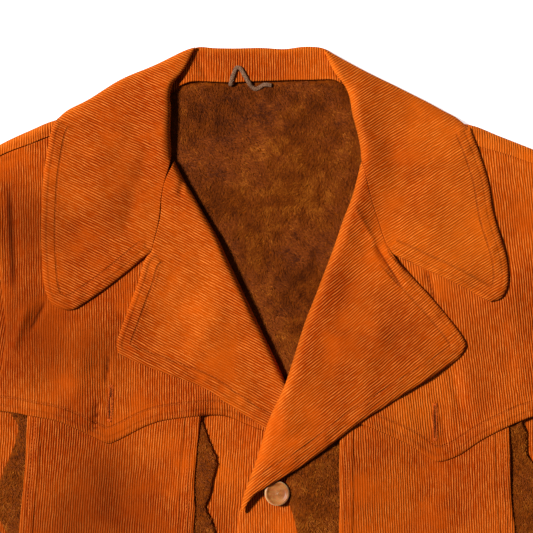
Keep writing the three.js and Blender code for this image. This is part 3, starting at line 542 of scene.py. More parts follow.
def sheet(name, sides, wall, step, ribs, slot="corduroy", nodes=None, rolls=(), stitched=(),
          flush=(), pressed=(), creases=(), pucker=0.0, lift=None, undulation=0.5, tone=0.0,
          roll=ROLL, base=None, sag=0.02):
    """One piece of cloth, laid on what is there.

    sides are its low, high, left and right edges. Each row of rolls is a side that rolls under,
    what it comes down to, and from which y to which. stitched names the sides with a row of
    stitches inside them, flush those that are sewn to the next piece, and pressed those that
    thin out onto what is below. ribs is the direction of its corduroy in degrees. base is what it
    lies on, where that isn't everything so far. Columns of creases: x1, y1, x2, y2, height, width.
    """
    plan = coons(*sides, step)
    plan = plan + 0.5 * np.stack([soft_noise(plan, *WOBBLE_X), soft_noise(plan, *WOBBLE_Y)], axis=-1)
    lines = {"low": plan[0], "high": plan[-1], "left": plan[:, 0], "right": plan[:, -1]}
    away = {side: distance_to(plan, line[::3]) for side, line in lines.items()}
    away["low"][0] = away["high"][-1] = away["left"][:, 0] = away["right"][:, -1] = 0
    outline = np.vstack([plan[0], plan[1:, -1], plan[-1, -2::-1], plan[-2:0:-1, 0]])
    base = laid if base is None else base
    beneath = sample(spread(base), plan) + GAP
    z = sample(drape(base, nodes or [name], outline, wall, sag), plan)
    z = z + sum(ridge(plan, *crease) for crease in creases)
    z = z + undulation * (soft_noise(plan, *BILLOWS) + 0.35 * soft_noise(plan, *RIPPLES))
    if lift is not None:
        z = z + lift(plan)
    edge = np.full(z.shape, FAR)
    for side in stitched:
        edge = np.minimum(edge, beside(plan, lines[side][::3]))
    if pucker:
        band = np.clip((TOPSTITCH + 3 - edge) / 4, 0, 1) * np.clip(edge / 1.5, 0, 1)
        z = z + band * (0.5 + pucker * soft_noise(plan, *PUCKERS))
    pressed_in = np.clip(z - beneath, -THINNED * wall, 0)
    z = np.maximum(z, beneath)
    tops = z + wall + pressed_in
    bottoms = z.copy()
    free = [away[side] for side in away if side not in flush and side not in pressed]
    near = np.minimum.reduce(free)
    tops = tops - THINNED * wall * down_turn(near, 1.3 * wall)
    bottoms = bottoms + 0.2 * wall * down_turn(near, EDGE_REACH)
    for side in flush:
        seam = down_turn(away[side], 0.8)
        tops, bottoms = tops - 0.2 * wall * seam, bottoms + 0.2 * wall * seam
    bottoms = np.minimum(bottoms, tops - 0.05)
    for side in pressed:
        thin = np.clip(1 - away[side] / PRESSED_REACH, 0, 1)
        tops = np.maximum(tops - (wall - 0.25) * thin * thin * (3 - 2 * thin), bottoms + 0.12)
    # Paler along cut and rolled edges: partly wear, partly painted highlight
    wear_and_highlight = EDGE_WEAR_AND_HIGHLIGHT * np.exp(-(near / EDGE_REACH) ** 2)
    for side, rest, y0, y1 in rolls:
        foot = beneath if rest == "laid" else np.zeros(z.shape)
        half = np.maximum((z + wall - foot) / 2, wall / 2)
        within = np.clip(np.minimum(plan[..., 1] - y0, y1 - plan[..., 1]) / 5 + 0.5, 0, 1)
        bend = down_turn(away[side], roll) * within
        wear_and_highlight = np.maximum(wear_and_highlight, np.exp(-(away[side] / ROLL_WEAR_AND_HIGHLIGHT_REACH) ** 2) * within)
        tops = np.minimum(tops, z + wall - half * bend)
        bead = np.minimum(foot + half * bend, tops - 0.05)
        rolled = (away[side] < roll) & (within > 0.5)
        bottoms = np.where(rolled, np.minimum(bottoms, bead), bottoms)
    piece, source = closed_sheet(name + "_cloth", plan, tops, bottoms, MATERIALS[slot])
    give_cut(piece, flat_cut(plan, ribs).reshape(-1, 2)[source])
    give_values(piece, "from_edge", (edge * MM).ravel()[source])
    give_values(piece, "wear_and_highlight", wear_and_highlight.ravel()[source])
    # The tone: partly the nap, partly painted shade and painted light
    nap_and_painted_light = tone + sum(change * np.exp(-(((plan - (x, y)) ** 2).sum(-1)) / radius ** 2)
                     for x, y, radius, change in NAP_AND_PAINTED_LIGHT)
    # Painted shadow along the deep, narrow troughs of the creases
    for x1, y1, x2, y2, height, width in creases:
        if height < -2:
            nap_and_painted_light = nap_and_painted_light + ridge(plan, x1, y1, x2, y2, -0.5, width / 3)
    give_values(piece, "tone", nap_and_painted_light.ravel()[source])
    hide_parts(*(nodes or [name]))
    SHEETS[name] = {
        "piece": piece, "outline": outline, "ribs": ribs, "lines": lines, "trims": [],
    }
    settle(plan, tops)


def settle(plan, tops):
    """Adds a laid piece to the map of heights."""
    for u in (0.0, 0.5):
        for v in (0.0, 0.5):
            corners = [(1 - u) * (1 - v), u * (1 - v), (1 - u) * v, u * v]
            cells = [(slice(None, -1), slice(None, -1)), (slice(None, -1), slice(1, None)),
                     (slice(1, None), slice(None, -1)), (slice(1, None), slice(1, None))]
            at = sum(w * plan[c] for w, c in zip(corners, cells))
            z = sum(w * tops[c] for w, c in zip(corners, cells))
            i = np.clip(np.rint((at[..., 0] + MAP_X) / CELL).astype(int), 0, COLUMNS - 1)
            j = np.clip(np.rint((at[..., 1] + MAP_Y) / CELL).astype(int), 0, ROWS - 1)
            np.maximum.at(laid, (j.ravel(), i.ravel()), z.ravel())


def declare_cut(name):
    """Works out a sheet's flat cut: its size across and along the ribs, and its area, and does nothing
    more with them.

    What is turned under at a rolled edge counts with the cut.
    """
    made = SHEETS[name]
    cut = flat_cut(made["outline"], made["ribs"])
    width, length = np.ptp(cut[:, 0]), np.ptp(cut[:, 1])
    ahead = np.roll(cut, -1, axis=0)
    area = abs((cut[:, 0] * ahead[:, 1] - ahead[:, 0] * cut[:, 1]).sum()) / 2
    turned = max(1.0, sum(face.area for face in made["piece"].data.polygons) / 2 / area)
    width, length, area = width * turned ** 0.5, length * turned ** 0.5, area * turned
    area = float(np.clip(area, 0.301 * width * length, width * length))


# Small threads

def capsules(name, pairs, thick, material):
    """Short threads joined in one mesh, each from one point to another."""
    points, faces = [], []
    for start, end in pairs:
        start, end = np.array(start), np.array(end)
        ahead = end - start
        aside = np.cross(ahead, (0, 0, 1))
        aside = aside / np.linalg.norm(aside) * thick / 2
        up = np.array((0, 0, thick / 2))
        first = len(points)
        for t, r in ((-0.42, 0.7), (0.0, 1.0), (0.42, 0.7)):
            middle = (start + end) / 2 + ahead * t
            points += [middle + aside * r, middle + up * r, middle - aside * r, middle - up * r]
        points += [start, end]
        for ring in range(2):
            for k in range(4):
                a, b = first + ring * 4 + k, first + ring * 4 + (k + 1) % 4
                faces.append((a, a + 4, b + 4, b))
        for k in range(4):
            a, b = first + k, first + (k + 1) % 4
            faces += [(first + 12, a, b), (first + 13, b + 8, a + 8)]
    return mesh_object(name, points, faces, material)


# Materials

def new_material(name):
    """A material with only its output and shader, its tree, and the shader."""
    material = bpy.data.materials.new(name)
    material.use_nodes = True
    tree = material.node_tree
    tree.nodes.clear()
    output = tree.nodes.new("ShaderNodeOutputMaterial")
    shader = tree.nodes.new("ShaderNodeBsdfPrincipled")
    tree.links.new(shader.outputs["BSDF"], output.inputs["Surface"])
    return material, tree, shader


def node(tree, kind, settings=None, **inputs):
    """A node with its settings, and its inputs linked or set, by name or by i and number."""
    made = tree.nodes.new(kind)
    for key, value in (settings or {}).items():
        setattr(made, key, value)
    for key, value in inputs.items():
        socket = made.inputs[int(key[1:]) if key[1:].isdigit() else key]
        if isinstance(value, bpy.types.NodeSocket):
            tree.links.new(value, socket)
        else:
            socket.default_value = value
    return made


def maths(tree, operation, a, b=0.0, c=0.0):
    return node(tree, "ShaderNodeMath", {"operation": operation}, i0=a, i1=b, i2=c).outputs[0]


def times(tree, a, b, plus=None):
    """The product, with something added where it is given."""
    if plus is None:
        return maths(tree, "MULTIPLY", a, b)
    return maths(tree, "MULTIPLY_ADD", a, b, plus)


def mixed(tree, factor, a, b):
    return node(tree, "ShaderNodeMix", {"data_type": "RGBA"}, i0=factor, i6=a, i7=b).outputs[2]


def noise(tree, at, scales, detail, roughness=0.5):
    """Noise of a size along each axis: the larger its scale, the finer."""
    at = node(tree, "ShaderNodeMapping", {"vector_type": "POINT"}, Vector=at, Scale=scales)
    return node(tree, "ShaderNodeTexNoise", Vector=at.outputs[0], Scale=1.0, Detail=detail,
                Roughness=roughness).outputs[0]


def stepped(tree, value, low, high, to_low=0.0, to_high=1.0):
    """A smooth step from one value to another."""
    return node(tree, "ShaderNodeMapRange", {"interpolation_type": "SMOOTHSTEP"},
                i0=value, i1=low, i2=high, i3=to_low, i4=to_high).outputs[0]


def attribute(tree, name):
    return node(tree, "ShaderNodeAttribute", {"attribute_name": name}).outputs["Fac"]


def place_of(tree):
    """Each point's place on the object, in metres."""
    return node(tree, "ShaderNodeTexCoord").outputs["Object"]


def give_bump(tree, shader, strength, distance, height):
    bump = node(tree, "ShaderNodeBump", Strength=strength, Distance=distance, Height=height)
    tree.links.new(bump.outputs[0], shader.inputs["Normal"])


def colour(red, green, blue):
    """A linear colour from the numbers a screen shows, 0 to 255."""
    linear = [c / 12.92 if c <= 0.04045 else ((c + 0.055) / 1.055) ** 2.4
              for c in (red / 255, green / 255, blue / 255)]
    return (*linear, 1.0)


FURROW_SHADE = colour(106, 24, 0)
RIB = colour(154, 54, 1)
RIB_GOLD = colour(168, 72, 4)
RIB_HIGHLIGHT = colour(208, 116, 46)
BRUSHED = colour(168, 66, 4)
PALER = colour(184, 94, 14)
DARKER = colour(112, 31, 2)
WORN_AND_HIGHLIT = colour(196, 92, 18)
SHEEN = colour(255, 150, 60)
PILE_DARK = colour(58, 20, 1)
PILE_MID = colour(108, 46, 4)
PILE_LIGHT = colour(150, 80, 16)
RESIN_DARK = colour(132, 70, 22)
RESIN_LIGHT = colour(164, 102, 48)
RESIN_RIM_HIGHLIGHT = colour(196, 156, 108)


def corduroy():
    """Ribbed cotton, cut pile in rows that the light breaks up along their length, with painted shade in
    the furrows and a painted highlight on the crests.
    """
    material, tree, shader = new_material("corduroy")
    cut = node(tree, "ShaderNodeUVMap", {"uv_map": "cut"}).outputs[0]
    place = place_of(tree)
    edge, tone, wear_and_highlight = (attribute(tree, name) for name in ("from_edge", "tone", "wear_and_highlight"))
    sway = noise(tree, cut, (60, 40, 1), 2.0)
    jitter = noise(tree, cut, (420, 120, 1), 1.0)
    across = node(tree, "ShaderNodeSeparateXYZ", Vector=cut).outputs[0]
    across = times(tree, sway, 0.0024, across)
    across = times(tree, jitter, 0.0005, across)
    turn = times(tree, across, 2 * math.pi / (WALE * MM))
    rib = times(tree, maths(tree, "COSINE", turn), 0.5, 0.5)
    lit = stepped(tree, noise(tree, cut, (520, 130, 1), 3.0, 0.6), 0.3, 0.7)
    grain = noise(tree, place, (1100, 1100, 1100), 2.0)
    patches = noise(tree, place, (16, 16, 16), 4.0, 0.55)
    brushed = noise(tree, place, (24, 24, 24), 4.0, 0.6)
    brushed = stepped(tree, brushed, 0.5, 0.7, 0.0, 0.5)
    unbrushed = times(tree, brushed, -0.9, 1.0)

    def groove_at(distance, width):
        """1 on a line this far inside the edge, fading to 0 beside it."""
        away = maths(tree, "ABSOLUTE", maths(tree, "SUBTRACT", edge, distance * MM))
        return stepped(tree, away, 0.3 * MM, width * MM, 1.0, 0.0)

    groove, hem = groove_at(TOPSTITCH, 1.5), groove_at(SEAM_RIDGE, 1.4)
    # Furrows darker than the ribs: painted shade between the ribs
    base = mixed(tree, stepped(tree, rib, 0.0, 0.62), FURROW_SHADE, RIB)
    base = mixed(tree, stepped(tree, patches, 0.4, 0.66, 0.0, 0.4), base, RIB_GOLD)
    # Painted highlight along the crests of the ribs, broken up along their length and taken away where
    # the pile is brushed
    crest = times(tree, stepped(tree, rib, 0.62, 0.98), times(tree, lit, 0.85, 0.05))
    base = mixed(tree, times(tree, crest, unbrushed), base, RIB_HIGHLIGHT)
    # Paler towards the edges: partly wear, partly painted highlight
    base = mixed(tree, times(tree, wear_and_highlight, 0.5), base, WORN_AND_HIGHLIT)
    base = mixed(tree, brushed, base, BRUSHED)
    # The tone makes the cloth paler or darker: partly the nap, partly painted light and painted shade
    base = mixed(tree, stepped(tree, tone, 0.0, 0.35, 0.0, 0.3), base, PALER)
    base = mixed(tree, stepped(tree, times(tree, tone, -1.0), 0.0, 0.4, 0.0, 0.5), base, DARKER)
    shade = times(tree, maths(tree, "SUBTRACT", patches, 0.5), 0.65, 1.0)
    # Darker in the stitch groove and where the seam allowance ends: painted shade in these dips
    for other in (times(tree, grain, 0.5, 0.75), maths(tree, "ADD", tone, 1.0),
                  times(tree, groove, -0.2, 1.0), times(tree, hem, -0.12, 1.0)):
        shade = times(tree, shade, other)
    grey = node(tree, "ShaderNodeCombineColor", i0=shade, i1=shade, i2=shade).outputs[0]
    shaded = node(tree, "ShaderNodeMix", {"data_type": "RGBA", "blend_type": "MULTIPLY"},
                  i0=1.0, i6=base, i7=grey).outputs[2]
    tree.links.new(shaded, shader.inputs["Base Color"])
    height = times(tree, maths(tree, "POWER", rib, 0.7), unbrushed)
    height = times(tree, height, times(tree, lit, 0.2, 0.8))
    for value, share in ((groove, -0.9), (hem, -0.4), (grain, 0.2)):
        height = times(tree, value, share, height)
    give_bump(tree, shader, 1.0, RIB_HEIGHT * MM, height)
    shader.inputs["Roughness"].default_value = 0.85
    shader.inputs["Specular IOR Level"].default_value = 0.02
    shader.inputs["Sheen Weight"].default_value = 0.02
    shader.inputs["Sheen Roughness"].default_value = 0.45
    shader.inputs["Sheen Tint"].default_value = SHEEN
    return material


def group(name, inputs, outputs):
    """An empty node group with these sockets, and its two ends."""
    made = bpy.data.node_groups.new(name, "ShaderNodeTree")
    for way, sockets in (("INPUT", inputs), ("OUTPUT", outputs)):
        for title, kind in sockets.items():
            made.interface.new_socket(title, in_out=way, socket_type="NodeSocket" + kind)
    return made, made.nodes.new("NodeGroupInput"), made.nodes.new("NodeGroupOutput")


def pile_shades():
    """The pile's colour for a shade from 0, its deepest, to 1, its tips."""
    made, start, end = group("pile_shades", {"Shade": "Float"}, {"Colour": "Color"})
    shade = start.outputs["Shade"]
    base = mixed(made, stepped(made, shade, 0.0, 0.55), PILE_DARK, PILE_MID)
    base = mixed(made, stepped(made, shade, 0.5, 1.0), base, PILE_LIGHT)
    made.links.new(base, end.inputs["Colour"])
    return made


def flecks():
    """Fine flecks between two colours, and their height."""
    made, start, end = group("flecks", {"Dark": "Color", "Light": "Color", "Scale": "Float"},
                             {"Colour": "Color", "Height": "Float"})
    spots = node(made, "ShaderNodeTexNoise", Vector=place_of(made), Detail=2.0,
                 Scale=start.outputs["Scale"]).outputs[0]
    base = mixed(made, stepped(made, spots, 0.35, 0.65), start.outputs["Dark"],
                 start.outputs["Light"])
    made.links.new(base, end.inputs["Colour"])
    made.links.new(spots, end.inputs["Height"])
    return made


def grouped(tree, name, **inputs):
    """A node for one of the groups that several materials use."""
    return node(tree, "ShaderNodeGroup", {"node_tree": GROUPS[name]}, **inputs)


def pile():
    """The knitted ground that the brown pile stands on."""
    material, tree, shader = new_material("pile")
    place = place_of(tree)
    tufts = noise(tree, place, (260, 260, 260), 4.0, 0.65)
    patches = noise(tree, place, (45, 45, 45), 3.0)
    # Paler where the tufts stand high and darker where they are low: painted shade in the hollows of the
    # pile, mottled by the patches
    shade = times(tree, patches, 0.3, stepped(tree, tufts, 0.3, 0.7, 0.0, 0.5))
    shades = grouped(tree, "pile_shades", Shade=shade)
    tree.links.new(shades.outputs["Colour"], shader.inputs["Base Color"])
    give_bump(tree, shader, 1.0, 2.0 * MM, tufts)
    shader.inputs["Roughness"].default_value = 0.9
    shader.inputs["Specular IOR Level"].default_value = 0.03
    return material


def fur():
    """Single strands of the pile, each with a shade of its own."""
    material, tree, shader = new_material("pile_strands")
    shades = grouped(tree, "pile_shades", Shade=attribute(tree, "shade"))
    tree.links.new(shades.outputs["Colour"], shader.inputs["Base Color"])
    shader.inputs["Roughness"].default_value = 0.7
    shader.inputs["Specular IOR Level"].default_value = 0.05
    return material


def spun(name, dark, light):
    """Thread or cord, mottled between two colours."""
    material, tree, shader = new_material(name)
    spots = grouped(tree, "flecks", Dark=colour(*dark), Light=colour(*light), Scale=1400.0)
    tree.links.new(spots.outputs["Colour"], shader.inputs["Base Color"])
    give_bump(tree, shader, 0.6, 0.3 * MM, spots.outputs["Height"])
    shader.inputs["Roughness"].default_value = 0.75
    shader.inputs["Specular IOR Level"].default_value = 0.08
    return material


def resin():
    """Clouded amber resin, polished."""
    material, tree, shader = new_material("button_resin")
    clouds = noise(tree, place_of(tree), (120, 240, 120), 3.0)
    base = mixed(tree, stepped(tree, clouds, 0.35, 0.7), RESIN_DARK, RESIN_LIGHT)
    # Paler towards the rim: a painted highlight on the resin's edge
    rim_highlight = stepped(tree, attribute(tree, "rim"), 0.86, 0.97, 0.0, 0.75)
    tree.links.new(mixed(tree, rim_highlight, base, RESIN_RIM_HIGHLIGHT), shader.inputs["Base Color"])
    shader.inputs["Roughness"].default_value = 0.42
    shader.inputs["Specular IOR Level"].default_value = 0.3
    shader.inputs["Subsurface Weight"].default_value = 0.25
    shader.inputs["Subsurface Scale"].default_value = 0.003
    return material


GROUPS = {"pile_shades": pile_shades(), "flecks": flecks()}
MATERIALS = {
    "corduroy": corduroy(),
    "pile": pile(),
    "strands": fur(),
    "thread": spun("thread", (136, 48, 4), (196, 92, 28)),
    "buttonhole": spun("buttonhole_thread", (118, 36, 2), (196, 88, 24)),
    # Pale button thread, which also serves as a painted glint
    "button_thread_glint": spun("button_thread_glint", (150, 96, 58), (214, 176, 140)),
    # Near-black, for the painted shadow in a buttonhole's slit
    "slit_shadow": spun("slit_shadow", (12, 4, 2), (20, 8, 4)),
    "braid": spun("braid", (72, 46, 32), (128, 94, 70)),
    "resin": resin(),
}


# The cloth, from the surface upwards

def joined(*links):
    """One edge from several, each starting where the one before it ends."""
    rows = list(links[0])
    for link in links[1:]:
        rows += list(link[1:] if math.dist(rows[-1], link[0]) < 3 else link)
    return rows


def bump_at(x, y, height, width):
    """A lift that is highest at one place."""
    def lift(plan):
        away = np.linalg.norm(plan - np.array([x, y]), axis=-1)
        return height * np.exp(-2 * (away / width) ** 2)
    return lift


def towards(line, height, width, y0=-1000, y1=-999):
    """A lift that grows towards an edge, where the cloth springs up, and from one y to another."""
    edge = smooth_curve(line, 60)

    def lift(plan):
        share = np.clip((plan[..., 1] - y0) / (y1 - y0), 0, 1)
        return share * height * np.exp(-2 * (distance_to(plan, edge) / width) ** 2)
    return lift


def lifts(*several):
    return lambda plan: sum(lift(plan) for lift in several)


def between(low, high):
    """Four sides from two, with straight ends."""
    return low, high, [low[0], high[0]], [low[-1], high[-1]]


def beside_each_other(left, right):
    """Four sides from the two long ones, with straight ends."""
    return [left[0], right[0]], [left[-1], right[-1]], left, right


TUCK = 6.8  # how far the fronts reach past the rolls above them
INSET = 7.0  # of the back's edges inside the front's, which roll down over them
LAP = 8.0  # of a pile strip under its panel
FALL_INSET = 7.1  # of the collar's back fall inside its top
CORNER = 0.8  # across a sharp corner of a pile strip
UNDERLAP = 6.0  # of the under sleeve over the back, behind the armhole
ALL = (-1000, 1000)  # from one y to another, past both ends of every piece
NECK_CORNER_LEFT = (-92, 338)
NECK_CORNER_RIGHT = (76, 332)
NECK_LEFT = moved(COLLAR_ROLL_LEFT[:4], TUCK) + [NECK_CORNER_LEFT]
NECK_RIGHT = moved(COLLAR_ROLL_RIGHT[:5], -TUCK) + [NECK_CORNER_RIGHT]
INNER_SHOULDER_LEFT = moved(SHOULDER_LEFT, -TUCK)[:-1] + [NECK_CORNER_LEFT]
INNER_SHOULDER_RIGHT = [NECK_CORNER_RIGHT] + moved(SHOULDER_RIGHT[::-1], -TUCK)[1:]
BODY_LEFT = joined(SIDE_LEFT[::-1], ARMHOLE_LEFT[::-1])
BODY_RIGHT = joined(SIDE_RIGHT[::-1], ARMHOLE_RIGHT[::-1])
BACK_LEFT = joined(moved(SIDE_LEFT[::-1], -INSET), ARMHOLE_LEFT[::-1])
BACK_RIGHT = joined(moved(SIDE_RIGHT[::-1], INSET), ARMHOLE_RIGHT[::-1])


def sleeve_sides(outer, inner, armhole, is_left, inset):
    """The cuff, the cap, and the two long edges of one layer of a sleeve."""
    sign = 1 if is_left else -1
    outer = moved(outer, -sign * inset)
    inside_edge = joined(moved(inner, sign * inset), armhole[::-1])
    cuff = [outer[0], inside_edge[0]]
    cap = [outer[-1], inside_edge[-1]]
    if is_left:
        return cuff, cap, outer, inside_edge
    return cuff[::-1], cap[::-1], inside_edge, outer


def gaping(rows, away):
    """An armhole's edge, drawn aside where the sleeve falls clear of the body."""
    return [(x + away * math.exp(-((y - 134) / 32) ** 2), y) for x, y in rows]


SLEEVES = {
    "left": (SLEEVE_OUTER, SLEEVE_INNER, moved(ARMHOLE_LEFT, -0.5), True),
    "right": (mirrored(SLEEVE_OUTER, SLEEVE_RIGHT_DROP), mirrored(SLEEVE_INNER, SLEEVE_RIGHT_DROP / 2),
              moved(ARMHOLE_RIGHT, 0.5), False),
}
SLEEVE_CREASES = [
    (-395, 90, -280, 40, 2.2, 13), (-410, 20, -300, -10, 1.6, 11), (-425, -60, -330, -40, 2.4, 13),
    (-440, -120, -345, -150, 1.8, 12), (-450, -200, -380, -215, 1.4, 12),
    (-350, 190, -300, 100, 2.4, 15), (-270, 250, -290, 150, 1.6, 12),
]

sheet("collar_back", (
    BACK_FALL_LOWER,
    moved(COLLAR_TOP_LEFT[1:6], -FALL_INSET) + moved(STAND_TOP, -FALL_INSET)
    + moved(COLLAR_TOP_RIGHT[::-1][1:6], -FALL_INSET),
    [BACK_FALL_LOWER[0], (-164, 309)], [BACK_FALL_LOWER[-1], (150, 306)],
), DOUBLE, 4, 90, undulation=0.0)
sheet("back", (
    [(-261, -370), (0, -372), (261, -370)], SHOULDER_LEFT + SHOULDER_RIGHT[::-1],
    BACK_LEFT, BACK_RIGHT,
), LINED, 7, 90, undulation=0.0)
for hand, (outer, inner, armhole, is_left) in SLEEVES.items():
    armhole = moved(armhole, UNDERLAP if is_left else -UNDERLAP)
    sheet(f"sleeve_{hand}_under", sleeve_sides(outer, inner, armhole, is_left, INSET),
          LINED, 8, 80 if is_left else 100, undulation=0.0)
sheet("back_lining", (
    [(-244, -364), (244, -364)], LINING_TOP, LINING_LEFT, LINING_RIGHT,
), LINING, 7, 90, slot="pile", undulation=0.9)
sheet("collar_stand_back", between(STAND_LOWER, [(-74, 364)] + STAND_TOP + [(54, 364)]),
      DOUBLE, 1.8, 90, rolls=[("high", "floor", *ALL)], undulation=0.3,
      creases=[(-62, 366, -50, 340, -1.8, 5)])
for hand, (outer, inner, armhole, is_left) in SLEEVES.items():
    turned = SLEEVE_CREASES if is_left else [
        (-x1, y1, -x2, y2, h, w) for x1, y1, x2, y2, h, w in SLEEVE_CREASES]
    outside_edge, inside_edge = ("left", "right") if is_left else ("right", "left")
    long_sides = [(outside_edge, "floor", *ALL), (inside_edge, "floor", -1000, 190)]
    armhole = gaping(armhole, -7 if is_left else 5)
    sheet(f"sleeve_{hand}_upper", sleeve_sides(outer, inner, armhole, is_left, 0),
          LINED, 4.5, 80 if is_left else 100, rolls=long_sides, creases=turned, undulation=1.0)

sheet("front_left", (
    [(-268, -370), (-120, -372), (27, -371)], INNER_SHOULDER_LEFT, BODY_LEFT,
    joined(FRONT_EDGE_LEFT[:-1], moved(LAPEL_ROLL_LEFT[1:], TUCK), NECK_LEFT),
), LINED, 4.7, 87, rolls=[("left", "floor", -1000, 150)], undulation=0.7)


def pointed(rows):
    """The edge with its corners kept sharp, by a second point close after each."""
    kept = []
    for here, ahead in zip(rows, rows[1:]):
        share = min(0.4, CORNER / max(math.dist(here, ahead), 1e-6))
        kept += [here, tuple(a + share * (b - a) for a, b in zip(here, ahead))]
    return kept + [rows[-1]]


def strip(name, seam, side, middle, reach, period, crest, shown):
    """A pile strip, from under its panel's edge out to its own waving edge.

    shown holds the edge's points near the yoke, from the top down. Columns: x, y.
    """
    covered = moved(seam, side * LAP)
    ys = np.arange(shown[-1][1] - 12, seam[0][1], -6.0)
    waves = middle + reach * np.cos(2 * np.pi * (ys - crest) / period)
    waving = [*zip(waves[::-1], ys[::-1]), *shown[::-1]]
    waving[0] = (waving[0][0], seam[0][1])
    waving = pointed(waving)
    edges = (covered, waving) if side > 0 else (waving, covered)
    sheet(name, beside_each_other(*edges), STRIP, 2.5, 90, slot="pile", undulation=0.6)


def panel(name, edges, ribs, creases):
    """A panel sewn on over a front, topstitched inside its long edges."""
    sheet(name, beside_each_other(edges["left"], edges["right"]), PATCH, 3.0, ribs,
          stitched=("left", "right"), pucker=0.3, creases=creases)


def yoke(name, sides, ribs, creases):
    """A yoke sewn on over a front, topstitched inside its lower edge."""
    sheet(name, sides, PATCH, 2.7, ribs, stitched=("low",), pucker=0.35, undulation=0.7,
          creases=creases, sag=0.06)


def shoulder(name, low, high):
    """A shoulder piece, sewn in at both ends and pressed along its seam."""
    sheet(name, between(low, high), PATCH, 2.0, 90, rolls=[("high", "floor", *ALL)],
          pressed=("low",), flush=("left", "right"), undulation=0.3, tone=0.1)


def leaf(name, sides, step, ribs, free, sewn, **more):
    """A doubled leaf of the collar or a lapel, topstitched inside its free edges."""
    sheet(name, sides, DOUBLE, step, ribs, stitched=("low", free), flush=(sewn,), pucker=0.62,
          sag=0.05, **more)


strip("pile_strip_left_outer", PANEL_LEFT["left"], -1, -218, 10, 110, 56, [
    (-214, 84), (-215, 70), (-208.5, 62), (-207.8, 57), (-211, 44), (-215.3, 32.4), (-219, 25),
    (-221, 18),
])
strip("pile_strip_left_inner", PANEL_LEFT["right"], 1, -49, 5.3, 74, 29, [
    (-57, 82), (-56.6, 66), (-50.8, 47), (-45.1, 34.9), (-44, 29.1), (-47.2, 16), (-50, 2),
    (-54.5, -7.8), (-49.2, -16.8), (-45.1, -27.5),
])
panel("panel_left", PANEL_LEFT, 86, [
    (-150, 30, -120, -60, 0.9, 14), (-90, -80, -120, -220, 1.0, 16),
])
yoke("yoke_left", (
    YOKE_LOWER_LEFT, INNER_SHOULDER_LEFT, ARMHOLE_LEFT[::-1],
    joined([YOKE_LOWER_LEFT[-1]], moved(LAPEL_ROLL_LEFT[1:], TUCK), NECK_LEFT),
), 90.5, [
    (-216, 262, -211, 165, -2.4, 8), (-199, 162, -213, 116, 1.9, 4.5),
    (-185, 163, -199, 136, -2.6, 4.5), (-141.8, 80, -145.4, 54, -2.2, 3.0),
    (-133.5, 118, -135.5, 94, -2.1, 3.0), (-150, 120, -165, 75, 1.1, 9),
    (-200, 92, -165, 97, -1.2, 7), (-165, 97, -134, 110, -1.0, 6), (-170, 130, -120, 150, 0.9, 12),
    (-229, 275, -186, 295, 1.1, 3), (-90, 120, -60, 96, 0.8, 8), (-66, 69, -28, 65, -2.4, 8),
])
shoulder("shoulder_left", SHOULDER_SEAM_LEFT + [(-168, 301)], SHOULDER_LEFT[:5])
under_left = laid.copy()
ROLL_LEFT = joined(LAPEL_ROLL_LEFT, COLLAR_ROLL_LEFT)
ROLL_RIGHT = joined(LAPEL_ROLL_RIGHT, COLLAR_ROLL_RIGHT)
leaf("lapel_left", (
    LAPEL_LOWER_LEFT, moved(GORGE_LEFT, -GORGE_GAP)[:-1] + [LAPEL_ROLL_LEFT[-1]],
    LAPEL_OUTER_LEFT, LAPEL_ROLL_LEFT,
), 1.8, 152, "left", "high", rolls=[("right", "laid", *ALL)], roll=4.5, undulation=0.9, tone=0.06,
     lift=towards(ROLL_LEFT, 4.6, 24), creases=[
    (-72.6, 262, -74.6, 244, -1.8, 4), (-55, 225, -85, 150, 0.9, 12), (-30, 165, -75, 110, 1.0, 14),
])
leaf("collar_left", (
    COLLAR_LOWER_LEFT, COLLAR_TOP_LEFT, COLLAR_OUTER_LEFT, joined(GORGE_LEFT, COLLAR_ROLL_LEFT),
), 1.8, 154, "left", "right", nodes=["collar_left", "collar_stand_left"], base=under_left,
     rolls=[("high", "floor", *ALL), ("right", "laid", 277, 1000)], roll=4.5, undulation=0.7,
     tone=0.06, lift=lifts(towards(ROLL_LEFT, 4.6, 24), towards(COLLAR_ROLL_LEFT, 2.4, 24, 285, 325),
                           towards(COLLAR_ROLL_LEFT[-2:], -5, 12, 340, 360)), creases=[
    (-97, 296, -109, 255, -1.6, 9), (-109, 262, -121, 212, -1.3, 9),
    (-135, 300, -150, 225, 1.2, 18), (-160, 320, -150, 285, 1.0, 12),
])

